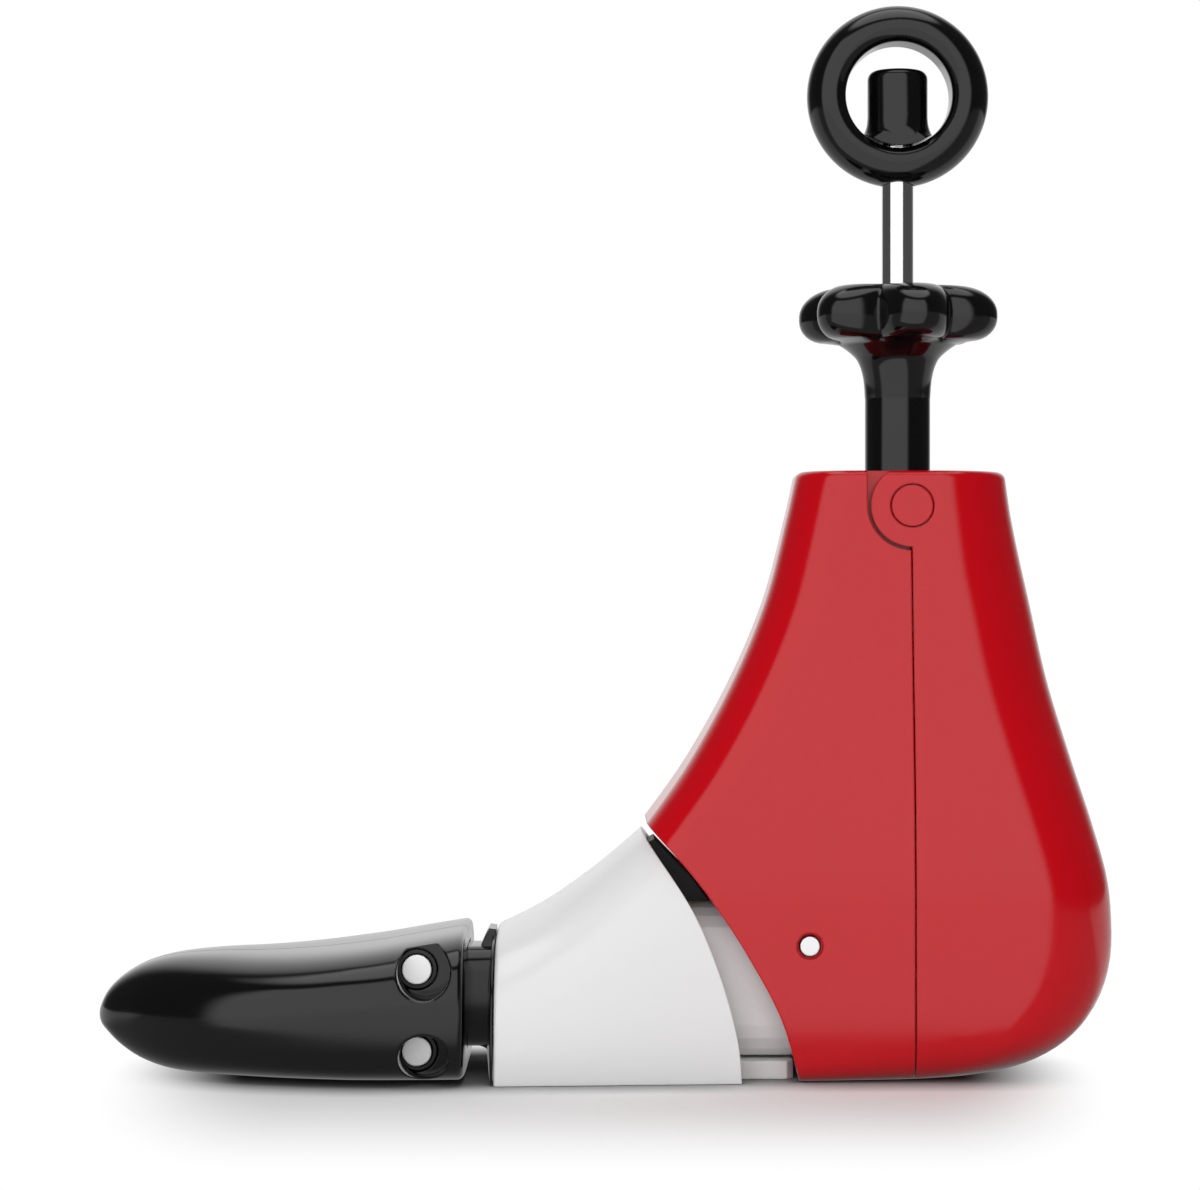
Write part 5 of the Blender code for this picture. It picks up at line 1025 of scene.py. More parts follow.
    def rear_shell(self) -> Shape:
        """The swinging rear half of the heel, with its knuckles and the ribs that hold the ramp.

        Returns:
            The shell.
        """
        half = self.half_width + LINE.over
        shell = self.walls(self.parting_x + LINE.seat / 2, self.back_x + LINE.over)
        for side in SIDES:
            knuckle = self.bar(self.hinge, self.knuckle_inner, half, self.knuckle_radius, side)
            shell.join(knuckle.keep_inside(self.solid()))
        z = self.hinge[1]
        room_half = self.knuckle_inner - self.overlap
        shell.cut(Shape.box((self.parting_x - 2 * self.knuckle_radius, -room_half,
                             z - self.cheek_drop - self.cheek_room),
                            (LINE.x + self.collar_reach + self.collar_room, room_half,
                             self.height + LINE.over)))
        pin, cap = self.hinge_pin + LINE.seat, self.cap_radius + LINE.seat
        for side in SIDES:
            shell.join(Shape.prism(self.rib_outline(), *beside(side, *self.ribs)))
            shell.cut(self.bar(self.hinge, self.knuckle_inner - 2 * MM, half, pin, side))
            shell.cut(self.bar(self.hinge, self.half(z) - self.cap_depth, half, cap, side))
        return shell

    def rib_outline(self) -> list[tuple[float, float]]:
        """Side view of a rib behind the ramp: it follows the back wall.

        Returns:
            The outline.
        """
        top = self.height - self.rib_drop
        heights = [top - self.rib_height * (1 - i / 5) for i in range(6)]
        back = [(self.back(z) - self.wall / 2, z) for z in heights]
        return back + [(self.back(z) - self.wall - self.rib_depth, z) for z in reversed(heights)]

    def hinge_cap(self, side: int) -> Shape:
        """A stub pin through knuckle and cheek, with a flush round cap.

        Args:
            side: -1 or 1.

        Returns:
            The pin.
        """
        face = self.half(self.hinge[1])
        seat = face - self.cap_depth + LINE.seat
        cap = self.bar(self.hinge, seat, face + LINE.over, self.cap_radius, side).keep_inside(self.solid())
        inner = self.knuckle_inner - LINE.seat - self.cheek + MM
        return cap.join(self.bar(self.hinge, inner, seat + 0.5 * MM, self.hinge_pin, side))

    def build(self) -> list[bpy.types.Object]:
        """Make the shells and the hinge caps.

        Returns:
            The pieces made.
        """
        skins = [Skin(self.outer_rings())]
        rows = [(self.front_shell(), "front_heel_skin", "heel", "front_heel_shell"),
                (self.rear_shell(), "rear_heel_skin", "rear_heel", "rear_heel_shell")]
        for side in Side:
            name = side.name.lower()
            rows.append((self.hinge_cap(side.value), f"hinge_cap_{name}", "heel", f"hinge_pin_{name}"))
        return [shape.settle(name, RED_GLOSS, body, [node], skins) for shape, name, body, node in rows]


@dataclass
class LengthDrive(Assembly):
    """The star knob, the hollow screw and the carriage."""

    top: float = 186.6 * MM
    height: float = 13.0 * MM
    radius: float = 24.3 * MM
    valley: float = 17.6 * MM
    lobes: int = 6
    lobe_turn: float = math.radians(-79.0)
    top_round: tuple[float, float] = (9.4 * MM, 6.8 * MM)
    under_round: tuple[float, float] = (6.0 * MM, 5.4 * MM)
    lobe_power: float = 0.56
    lobe_fade: float = 2.6
    steps: int = 240
    flare_height: float = 14.0 * MM
    flare: tuple[tuple[float, float], ...] = (
        (0.0429, 1.8205), (0.1571, 1.5256), (0.3143, 1.2436), (0.6071, 1.0641), (1.0, 1.0))
    bottom: float = 140.5 * MM
    bore: float = 5.9 * MM
    crown: float = 6.3 * MM
    inner: Dressing = ((PLAIN_STEEL, ("length_screw", "length_clip", "carriage", "follower_pin")),
                       (BRASS, ("length_washer",)))

    def ring(self, z: float, base: float, lobe: float) -> list[Point]:
        """One level section: a circle with soft lobes.

        Args:
            z: Its height.
            base: Its radius between the lobes.
            lobe: How far the lobes stand out.

        Returns:
            The section's points.
        """
        ring = []
        for angle in turns(self.steps):
            wave = 0.5 + 0.5 * math.cos(self.lobes * (angle - self.lobe_turn))
            reach = base + lobe * wave ** self.lobe_power
            ring.append((LINE.x + reach * math.cos(angle), reach * math.sin(angle), z))
        return ring

    def edge_ring(self, z: float, inset: float) -> list[Point]:
        """A section of the star with its edge turned in.

        Args:
            z: Its height.
            inset: How far the edge turns in there.

        Returns:
            The section's points.
        """
        lobe = self.radius - self.valley
        kept = max(1 - inset / (lobe * self.lobe_fade), 0.2)
        return self.ring(z, self.valley - (inset - lobe * (1 - kept)), lobe * kept)

    def outer_rings(self) -> list[list[Point]]:
        """The sections of sleeve, flare and star, from the foot to the rim of the rod's bore.

        Returns:
            The sections.
        """
        under = self.top - self.height
        rings = [self.ring(self.bottom, LINE.sleeve, 0.0)]
        rows = [(under - drop * self.flare_height, share * LINE.sleeve) for drop, share in self.flare]
        rings += [self.ring(z, smooth_between(rows, z)[0], 0.0) for z in even(rows[-1][0], rows[0][0], 26)]
        wide, tall = self.under_round
        rings += [self.edge_ring(under + tall * (1 - math.cos(turn)), wide * (1 - math.sin(turn)))
                  for turn in quarter(8)]
        wide, tall = self.top_round
        return rings + [self.edge_ring(self.top - tall * (1 - math.sin(turn)), wide * (1 - math.cos(turn)))
                        for turn in quarter(14)]

    def knob(self) -> Shape:
        """The star knob with its flare and sleeve, bored for screw and rod.

        Returns:
            The knob.
        """
        shelf = self.top - self.crown
        rod, edge = LINE.rod + LINE.running, 0.4 * MM
        bore = [(self.top, rod + edge), (self.top - edge, rod), (shelf, rod), (shelf, self.bore),
                (self.bottom, self.bore)]
        return Shape.loft(self.outer_rings() + [self.ring(z, radius, 0.0) for z, radius in bore], True)

    def build(self) -> list[bpy.types.Object]:
        """Make the knob.

        Returns:
            The pieces made.
        """
        return [self.knob().settle("star_knob_moulding", BLACK_GLOSS, "length_handle", ["star_knob"],
                                   [Skin(self.outer_rings())])]


@dataclass
class WidthDrive(Assembly):
    """The pull ring, the rod, the wedge and what it pushes."""

    centre: float = 232.4 * MM
    radius: float = 21.75 * MM
    bore: float = 12.65 * MM
    depth: float = 14.5 * MM
    fillet: float = 3.2 * MM
    boss_radius: float = 7.2 * MM
    boss_top: float = 238.8 * MM
    foot_radius: float = 9.6 * MM
    foot_height: float = 6.5 * MM
    rod_top: float = 231.0 * MM
    boss_edge: float = 2.2 * MM
    boss_dome: float = 0.25 * MM
    ring_steps: int = 180
    boss_steps: int = 96
    # Flare of the stub's foot in millimetres: added radius, and height over the foot.
    boss_flare: tuple[tuple[float, float], ...] = ((0.0, 2.0), (0.25, 0.0), (1.0, -2.0), (2.4, -3.8))
    inner: Dressing = ((CHROME, ("width_rod",)), (BRASS, ("width_washer",)),
                       (PLAIN_STEEL, ("width_wedge", "width_clip", "push_rod", "cam_plate", "cam_rivet")))

    def profile(self) -> list[tuple[float, float]]:
        """Section of the ring: round outside, with a flatter bore and soft edges.

        Returns:
            Points of radius and width.
        """
        half, middle = self.depth / 2, self.bore + self.fillet
        low = -half + self.fillet
        outer = [(middle + (self.radius - middle) * math.cos(a), half * math.sin(a))
                 for a in map(math.radians, even(90, -90, 28)[1:])]
        return (outer + arc(middle, low, self.fillet, -90, -180, 7)[1:]
                + arc(middle, -low, self.fillet, 180, 90, 7))

    def ring_rows(self) -> list[list[Point]]:
        """Rows of the ring, one for each point of its section."""
        return [[(LINE.x + r * math.cos(a), v, self.centre + r * math.sin(a))
                 for a in turns(self.ring_steps)] for r, v in self.profile()]

    def ring(self) -> Shape:
        """The pull ring, bored from below for the rod.

        Returns:
            The ring.
        """
        ring = Shape.loft(self.ring_rows(), round_trip=True)
        low = self.centre - self.radius - MM
        return ring.cut(Shape.upright(LINE.x, 0.0, low, self.centre, LINE.rod + LINE.seat))

    def boss_rows(self) -> list[list[Point]]:
        """Sections of the stub from its top down.

        Returns:
            The sections.
        """
        bottom = self.centre - self.bore - MM
        foot = bottom + self.foot_height
        rows = [(0.0, self.boss_top), (self.boss_radius * 0.5, self.boss_top - 0.06 * MM)]
        rows += [(self.boss_radius - rounding(depth, self.boss_edge) * 0.9,
                  self.boss_top - self.boss_dome - depth) for depth in edge_depths(self.boss_edge, 6)]
        flare = [(self.boss_radius + out * MM, foot + up * MM) for out, up in self.boss_flare]
        rows += smooth_line(flare + [(self.foot_radius + 0.6 * MM, bottom)], 5)
        return [[(LINE.x + r * math.cos(a), r * math.sin(a), z) for a in turns(self.boss_steps)]
                for r, z in rows]

    def boss(self) -> Shape:
        """The stub that stands in the ring on the rod's end.

        Returns:
            The stub.
        """
        boss = Shape.loft(self.boss_rows())
        half = self.depth / 2 - 0.1 * MM
        boss.keep_inside(Shape.crosswise(LINE.x, self.centre, -half, half, self.bore - LINE.seat, 180))
        return boss.cut(Shape.upright(LINE.x, 0.0, self.centre - self.bore - 2 * MM,
                                      self.rod_top + LINE.seat, LINE.rod + LINE.seat))

    def build(self) -> list[bpy.types.Object]:
        """Make the ring and its stub.

        Returns:
            The pieces made.
        """
        rows = self.ring_rows()
        return [self.ring().settle("pull_ring_moulding", BLACK_GLOSS, "width_handle", ["pull_ring"],
                                   [Skin(rows + rows[:1])]),
                self.boss().settle("ring_boss_moulding", BLACK_GLOSS, "width_handle", ["ring_boss"],
                                   [Skin(self.boss_rows())])]


@dataclass
class Midfoot(Assembly):
    """The white shell, the core, the sole plate and the nose carrier."""

    mouth_x: float = -25.0 * MM
    mouth_height: float = 33.5 * MM
    half_width: float = 37.0 * MM
    rear_half_width: float = 32.5 * MM
    rear_x: float = 32.3 * MM
    run_on: float = 3.7 * MM
    wall: float = 2.6 * MM
    power: float = 3.0
    lip: float = 1.1 * MM
    sole: float = 4.2 * MM
    instep: tuple[tuple[float, float], ...] = (
        (0.0, 1.0), (0.1047, 1.0836), (0.2251, 1.2), (0.3333, 1.3284), (0.4363, 1.4627), (0.5236, 1.5881),
        (0.5969, 1.6985), (0.7155, 1.8806), (0.8901, 2.1493), (1.0646, 2.3881))
    back_edge: tuple[tuple[float, float], ...] = (
        (0.6003, 1.6985), (0.7993, 1.194), (0.9145, 0.7254), (0.9825, 0.2985), (1.0, 0.0))
    flange: float = 0.75 * MM
    rim_inset: float = 1.6 * MM
    neck: tuple[float, float, float] = (12.0 * MM, 5.6 * MM, 29.3 * MM)
    neck_round: float = 5.5 * MM
    block: tuple[float, float, float, float] = (-49.5 * MM, -37.0 * MM, 2.7 * MM, 29.5 * MM)
    plug: tuple[float, float, float, float] = (-14.0 * MM, 20.4 * MM, 12.0 * MM, 29.0 * MM)
    guide_radius: float = 3.4 * MM
    screw: tuple[float, float] = (11.0 * MM, 29.6 * MM)  # behind the mouth and beside the middle
    screw_boss: tuple[float, float] = (4.2 * MM, 6.0 * MM)  # its radius and its height
    screw_bore: tuple[float, float] = (1.9 * MM, 4.2 * MM)  # its radius and its depth
    cutter_start: tuple[float, float] = (10.0 * MM, 16.0 * MM)  # before the back edge's top and over it
    cutter_top: float = 40.0 * MM
    screw_rib: Point = (2.6 * MM, 1.5 * MM, 5.0 * MM)  # half its width, its overlap and its height
    # Dome of the flange: depth as a share of its thickness, and inset in millimetres.
    dome: tuple[tuple[float, float], ...] = (
        (0.0, 0.0), (0.55, 0.0), (0.72, 0.12), (0.84, 0.4), (1.0, 1.4), (1.5, 6.0), (2.0, 11.0))
    # Hooked rib over the neck in millimetres: how far before the flange, and how far over the neck.
    hook: tuple[tuple[float, float], ...] = (
        (0.0, 4.0), (1.6, 4.2), (2.5, 2.6), (3.5, 0.3), (3.3, -0.3), (1.2, -1.0), (0.0, -1.0))
    hook_half: float = 6.5 * MM
    fillet: Point = (4.4 * MM, 3.4 * MM, 3.6 * MM)  # its reach, its drop and its radius
    fillet_setback: float = 4.0 * MM
    block_round: float = 2.0 * MM
    slot_half: float = 6.3 * MM
    slots: tuple[tuple[float, float], ...] = ((14.4 * MM, 18.6 * MM), (12.4 * MM, 24.7 * MM))
    slot_x: float = -22.0 * MM
    carrier_screw: Point = (8.0 * MM, 22.0 * MM, 1.8 * MM)  # behind the mouth, its height and its radius
    carrier_screw_run: tuple[float, float] = (16.7 * MM, 25.0 * MM)
    # Dark sheet of painted shade over the core, in the gap before the heel: half its width, and its side
    # outline in millimetres.
    shade_sheet_half: float = 9.0 * MM
    shade_sheet_outline: tuple[tuple[float, float], ...] = (
        (6.0, 50.0), (9.0, 53.2), (12.4, 55.0), (21.0, 46.2), (29.0, 35.4), (24.0, 32.5), (18.0, 33.5))
    inner: Dressing = ((GREY_PLASTIC, ("arch_core", "sole_plate")),
                       (PIN_STEEL, ("upper_guide_pin", "lower_guide_pin")),
                       (PLAIN_STEEL, ("sole_screw_1", "sole_screw_2", "sole_screw_3", "sole_screw_4",
                                      "carrier_screw_left", "carrier_screw_right")))

    def height_at(self, x: float) -> float:
        """The instep line's height at a place along X."""
        return smooth_between(self.along(self.instep), x)[0]

    def along(self, points: Profile) -> list[tuple[float, float]]:
        """Turn shares of the midfoot's length and of its mouth's height into places."""
        length = self.rear_x - self.mouth_x
        return [(self.mouth_x + share * length, up * self.mouth_height) for share, up in points]

    def half_at(self, x: float) -> float:
        """Half the midfoot's width at its foot."""
        share = min(max((x - self.mouth_x) / (self.rear_x - self.mouth_x), 0.0), 1.2)
        return self.half_width + (self.rear_half_width - self.half_width) * share

    def arch(self, half: float, height: float, steps: int) -> list[tuple[float, float]]:
        """Half a boxy round from one foot over the top to the other.

        Args:
            half: Half its width.
            height: Its height.
            steps: Number of steps.

        Returns:
            Points of (y, z).
        """
        points = [boxy_round(angle, self.power) for angle in even(0, math.pi, steps)]
        return [(half * u, height * max(v, 0.0)) for u, v in points]

    def rows(self) -> list[list[Point]]:
        """The shell's outer sections from the mouth back, with a rounded lip.

        Returns:
            The sections.
        """
        rows = [(self.mouth_x + depth, rounding(depth, self.lip)) for depth in edge_depths(self.lip, 5)]
        rows += [(x, 0.0) for x in even(self.mouth_x + self.lip, self.rear_x + self.run_on, 44)[1:]]
        return [[(x, y, z) for y, z in self.arch(self.half_at(x) - inset, self.height_at(x) - inset, 96)]
                for x, inset in rows]

    def shell(self) -> Shape:
        """The white shell, open to the front, the back and the floor.

        Returns:
            The shell.
        """
        shell, inner = Shape.loft(self.rows()), []
        for x in even(self.mouth_x - LINE.over, self.rear_x + self.run_on + LINE.over, 24):
            half, height = self.half_at(x) - self.wall, self.height_at(x) - self.wall
            arch = [(x, y, z) for y, z in self.arch(half, height, 48)]
            inner.append(arch + [(x, -half, -LINE.over), (x, half, -LINE.over)])
        shell.cut(Shape.loft(inner))
        x, out = self.mouth_x + self.screw[0], self.screw[1]
        bore, depth = self.screw_bore
        for side in SIDES:
            shell.join(self.screw_tube(x, out, side))
            shell.cut(Shape.upright(x, side * out, self.sole - MM, self.sole + depth, bore, 24))
        edge = self.along(smooth_line(self.back_edge, 12))
        far = edge[-1][0] + 4 * LINE.over
        (top_x, top_z), (before, over) = edge[0], self.cutter_start
        outline = [(top_x - before, top_z + over)] + edge
        outline += [(edge[-1][0], -LINE.over), (far, -LINE.over), (far, top_z + self.cutter_top)]
        half = self.half_width + LINE.over
        return shell.cut(Shape.prism(outline, -half, half))

    def screw_tube(self, x: float, out: float, side: int) -> Shape:
        """A boss over the sole plate for a sole screw, with its rib to the shell's wall.

        Args:
            x: Its place along the midfoot.
            out: Its distance from the middle.
            side: -1 or 1.

        Returns:
            The boss.
        """
        radius, height = self.screw_boss
        rib_half, overlap, rib_top = self.screw_rib
        tube = Shape.upright(x, side * out, self.sole + LINE.seat, self.sole + height, radius, 32)
        low_y, high_y = beside(side, out - overlap, self.half_at(x) - self.wall / 2)
        return tube.join(Shape.box((x - rib_half, low_y, self.sole + 2 * LINE.seat),
                                   (x + rib_half, high_y, self.sole + rib_top)))

    def rounded_bar(self, low_x: float, high_x: float, half: float, low_z: float, high_z: float,
                    radius: float) -> Shape:
        """A bar along X with round long edges.

        Args:
            low_x: Its front end.
            high_x: Its back end.
            half: Half its width.
            low_z: Its underside.
            high_z: Its top.
            radius: Radius of its edges.

        Returns:
            The bar.
        """
        outline = []
        for y, z, start in ((half - radius, high_z - radius, 0), (radius - half, high_z - radius, 90),
                            (radius - half, low_z + radius, 180), (half - radius, low_z + radius, 270)):
            outline += arc(y, z, radius, start, start + 90, 12)
        return Shape.prism(outline, low_x, high_x, Plane.FRONT)

    def flange_rings(self) -> list[list[Point]]:
        """Sections of the flange that closes the shell's mouth, domed towards the neck.

        Returns:
            The sections from the seat to the front.
        """
        half, height = self.half_at(self.mouth_x), self.height_at(self.mouth_x)
        rings = []
        for depth, inset in self.dome:
            low = self.rim_inset / 2 + inset * MM * 0.5
            arch = self.arch(half - self.rim_inset - inset * MM,
                             height - self.rim_inset - inset * MM - low, 72)
            rings.append([(self.seat() - self.flange * depth, y, z + low) for y, z in arch])
        return rings

    def seat(self) -> float:
        """Where the flange's back stands, just before the shell's mouth."""
        return self.mouth_x - LINE.seat

    def fillet_outline(self) -> list[tuple[float, float]]:
        """Side view of the soft fillet between the neck's underside and the flange.

        Returns:
            The outline.
        """
        seat, low = self.seat(), self.neck[1]
        reach, drop, radius = self.fillet
        curve = arc(seat - reach, low - drop, radius, 90, 10, 10)
        return [(seat, low + MM), (seat - reach, low + MM)] + curve + [(seat, low - drop)]

    def carrier(self) -> Shape:
        """The black carrier: flange, neck, and the block with two pin bores inside the toe.

        Returns:
            The carrier.
        """
        half, low, high = self.neck
        front, back, block_low, block_high = self.block
        plug_back, plug_half, plug_low, plug_high = self.plug
        seat, fillet_half = self.seat(), half - self.fillet_setback
        carrier = Shape.loft(self.flange_rings())
        carrier.join(self.rounded_bar(back - MM, seat - 0.3 * MM, half, low, high, self.neck_round))
        hook = [(seat - before * MM, high + up * MM) for before, up in self.hook]
        carrier.join(Shape.prism(hook, -self.hook_half, self.hook_half))
        carrier.join(Shape.prism(self.fillet_outline(), -fillet_half, fillet_half))
        carrier.join(self.rounded_bar(front, back, half - 0.05 * MM, block_low, block_high, self.block_round))
        carrier.join(self.rounded_bar(seat - 0.4 * MM, plug_back, plug_half, plug_low, plug_high, MM))
        slot_half, slot_end = self.slot_half, plug_back + LINE.over
        for start, (under, over) in zip((front - MM, self.slot_x), self.slots):
            carrier.cut(Shape.box((start, -slot_half, under), (slot_end, slot_half, over)))
        for z in LINE.guides:
            carrier.cut(Shape.crosswise(LINE.guide_x, z, -half - MM, half + MM,
                                        self.guide_radius + LINE.seat, 48))
        behind, height, radius = self.carrier_screw
        for side in SIDES:
            carrier.cut(Shape.crosswise(self.mouth_x + behind, height, *beside(side, *self.carrier_screw_run),
                                        radius, 24))
        return carrier

    def shade_sheet(self) -> Shape:
        """A dark sheet over the core: painted shade that darkens the gap between the white shell and the
        heel.
        """
        outline = [(x * MM, z * MM) for x, z in self.shade_sheet_outline]
        return Shape.prism(outline, -self.shade_sheet_half, self.shade_sheet_half)

    def build(self) -> list[bpy.types.Object]:
        """Make the shell, the nose carrier and the dark sheet of painted shade over the core.

        Returns:
            The pieces made.
        """
        return [self.shell().settle("midfoot_skin", WHITE_GLOSS, "midfoot", ["midfoot_shell"],
                                    [Skin(self.rows(), False)]),
                self.carrier().settle("nose_carrier_moulding", BLACK_GLOSS, "midfoot", ["nose_carrier"],
                                      [Skin(self.flange_rings(), False)]),
                # The dark sheet is painted shade in the gap over the core; no imported node stands behind it.
                self.shade_sheet().settle("ankle_gap_painted_shade", DARK_PLASTIC_AND_SHADE, "midfoot", [])]


@dataclass(frozen=True)
class Pit:
    """A round recess round the end of a guide pin.

    Args:
        x: Its centre along X.
        z: Its centre's height.
        wide: Its reach along X.
        tall: Its reach along Z.
        rim: Radius of its rolled rim.
    """

    x: float
    z: float
    wide: float
    tall: float
    rim: float


@dataclass
class Toe(Assembly):
    """Both toe halves with their bushes and cam pins."""

    back_x: float = -32.0 * MM
    tip_x: float = -120.5 * MM
    tip_z: float = 12.8 * MM
    half_width: float = 40.0 * MM
    height: float = 33.9 * MM
    wall: float = 3.0 * MM
    split: float = 0.3 * MM
    back_power: float = 4.8
    tip_power: float = 2.3
    power_run: float = 62.0 * MM
    waist: float = 0.34
    back_round: float = 1.5 * MM
    block_front: float = -54.0 * MM
    margin: float = 0.04 * MM
    tip_share: float = 0.9999
    steps: int = 176
    outline: tuple[tuple[float, ...], ...] = (
        (0.0000, 1.0000, 0.0000, 0.985), (0.1017, 0.9558, 0.0000, 1.000), (0.2486, 0.8909, 0.0000, 0.995),
        (0.4068, 0.8437, 0.0000, 0.945), (0.5424, 0.8230, 0.0000, 0.860), (0.6780, 0.8171, 0.0000, 0.730),
        (0.7910, 0.7935, 0.0177, 0.575), (0.8701, 0.7404, 0.0708, 0.430), (0.9266, 0.6608, 0.1475, 0.300),
        (0.9718, 0.5516, 0.2448, 0.175), (0.9944, 0.4425, 0.3127, 0.070))
    pits: tuple[Pit, ...] = (Pit(-41.1 * MM, 26.2 * MM, 6.1 * MM, 6.4 * MM, 0.8 * MM),
                             Pit(-41.0 * MM, 6.7 * MM, 5.8 * MM, 5.2 * MM, 0.7 * MM))
    pit_floor: float = 27.5 * MM
    pit_step: float = 0.6 * MM
    pit_over: tuple[float, float] = (0.55 * MM, 1.2 * MM)  # how far the rim's cutter runs out and up
    bush: float = 4.9 * MM
    bush_start: float = 10.0 * MM
    cam: tuple[float, float, float, float] = (-62.0 * MM, 9.0 * MM, 9.0 * MM, 24.0 * MM)
    cam_bore: float = 2.5 * MM
    cam_boss: tuple[float, float] = (5.0 * MM, 2.2 * MM)  # its radius and how far it stands over the bore
    # Rooms for carrier and cam plate, in millimetres: front, back, half width, underside and top.
    rooms: tuple[tuple[float, ...], ...] = (
        (-49.8, -36.7, 12.3, 2.4, 29.8), (-37.3, -26.0, 12.3, 5.3, 29.6), (-76.0, -49.2, 19.5, 14.7, 18.3))
    inner: Dressing = (
        (BLACK_BUSH, ("upper_bush_left", "lower_bush_left", "upper_bush_right", "lower_bush_right")),
        (PLAIN_STEEL, ("cam_pin_left", "cam_pin_right")))

    def section(self, x: float, inset: float) -> tuple[float, float, float, float, float]:
        """Sizes of one upright section.

        Args:
            x: Its place.
            inset: How far it lies inside the outer surface.

        Returns:
            The waist's height, the half width, the reach above and below the waist, and how boxy it is.
        """
        run = self.tip_x - self.back_x
        rows = [(math.sqrt(1 - along), top * self.height, bottom * self.height, share * self.half_width)
                for along, top, bottom, share in self.outline] + [(0.0, self.tip_z, self.tip_z, 0.0)]
        top, bottom, half = smooth_between(rows, math.sqrt(max(1 - (x - self.back_x) / run, 0.0)))
        bottom, half = max(bottom, 0.0), min(half, self.half_width - self.margin)
        waist = bottom + (top - bottom) * self.waist
        boxy = min((x - self.tip_x) / self.power_run, 1.0)
        power = self.tip_power + (self.back_power - self.tip_power) * boxy
        return (waist, max(half - inset, self.margin), max(top - inset - waist, self.margin),
                max(waist - bottom - inset, self.margin), power)

    def ring(self, x: float, inset: float, steps: int) -> list[Point]:
        """One upright section as points.

        Args:
            x: Its place.
            inset: How far it lies inside the outer surface.
            steps: Steps round it.

        Returns:
            The section's points.
        """
        waist, half, upper, lower, power = self.section(x, inset)
        points = [boxy_round(angle, power) for angle in turns(steps)]
        return [(x, half * u, waist + v * (upper if v >= 0 else lower)) for u, v in points]

    def side_at(self, x: float, z: float) -> float:
        """How far the toe's surface reaches sideways at a point of its side view.

        Args:
            x: The point's place along the toe.
            z: Its height.

        Returns:
            The distance from the middle plane.
        """
        waist, half, upper, lower, power = self.section(x, 0.0)
        share = min(abs(z - waist) / (upper if z >= waist else lower), 1.0)
        return half * max(1 - share ** power, 0.0) ** (1 / power)

    def rows(self) -> list[list[Point]]:
        """The fine sections of the toe's outside, from its rounded back edge to its blunt tip.

        Returns:
            The sections.
        """
        run = self.tip_x - self.back_x
        rows = [self.ring(self.back_x - depth, rounding(depth, self.back_round), self.steps)
                for depth in edge_depths(self.back_round, 5)]
        start, end = self.back_round / -run, self.tip_share
        for turn in quarter(60)[1:]:
            share = start + (end - start) * math.sin(turn)
            rows.append(self.ring(self.back_x + run * share, 0.0, self.steps))
        return rows

    def pit_ring(self, pit: Pit, spread: float, depth: float) -> list[Point]:
        """One ring of a pit's cutter, on the right side.

        Args:
            pit: The pit.
            spread: How far the ring lies outside the pit's wall.
            depth: Its depth below the toe's surface, ended just over the pit's floor.

        Returns:
            The ring's points.
        """
        ring = []
        for angle in turns(72):
            x = pit.x + (pit.wide + spread) * math.cos(angle)
            z = pit.z + (pit.tall + spread) * math.sin(angle)
            ring.append((x, max(self.side_at(x, z) - depth, self.pit_floor + self.pit_step), z))
        return ring

    def pit_cutter(self, pit: Pit) -> Shape:
        """A cutter for a pit with a rolled rim that follows the toe's surface.

        Args:
            pit: The pit.

        Returns:
            The cutter.
        """
        levels = [(pit.rim * (1 - math.cos(turn)), pit.rim * (1 - math.sin(turn)))
                  for turn in map(math.radians, even(0, 72, 5))]
        out, up = self.pit_over
        levels.append((levels[-1][0] + out, -up))
        rings = [self.pit_ring(pit, spread, depth) for spread, depth in levels]
        floor = [(x, self.pit_floor, z) for x, _, z in rings[0]]
        lid = [(x, self.half_width + LINE.over, z) for x, _, z in rings[-1]]
        return Shape.loft([floor] + rings + [lid])

    def half(self) -> Shape:
        """The right half of the toe, with its boss, bores, pits and the room for carrier and cam plate.

        Returns:
            The half.
        """
        half = Shape.loft(self.rows())
        half.cut(Shape.loft([self.ring(x, self.wall, 64)
                             for x in even(self.block_front, self.tip_x + 3 * self.wall, 12)]))
        cam_x, cam_y, cam_low, cam_high = self.cam
        boss, over = self.cam_boss
        half.join(Shape.upright(cam_x, cam_y, MM, cam_high + over, boss, 48))
        half.keep_inside(Shape.box(
            (self.tip_x - LINE.over, self.split / 2, -LINE.over),
            (self.back_x + LINE.over, self.half_width + LINE.over, self.height + LINE.over)))
        for front, back, wide, low, high in self.rooms:
            half.cut(Shape.box((front * MM, -wide * MM, low * MM), (back * MM, wide * MM, high * MM)))
        half.cut(Shape.upright(cam_x, cam_y, cam_low - LINE.seat, cam_high + LINE.seat, self.cam_bore, 32))
        for z in LINE.guides:
            half.cut(Shape.crosswise(LINE.guide_x, z, self.bush_start, self.pit_floor + MM, self.bush, 48))
        return half.cut(*[self.pit_cutter(pit) for pit in self.pits])

    def build(self) -> list[bpy.types.Object]:
        """Make both halves.

        Returns:
            The pieces made.
        """
        right = self.half()
        left = right.mirrored()
        skins = [Skin(self.rows())]
        return [left.settle("toe_skin_left", BLACK_GLOSS, "toe_left", ["toe_half_left"], skins),
                right.settle("toe_skin_right", BLACK_GLOSS, "toe_right", ["toe_half_right"], skins)]


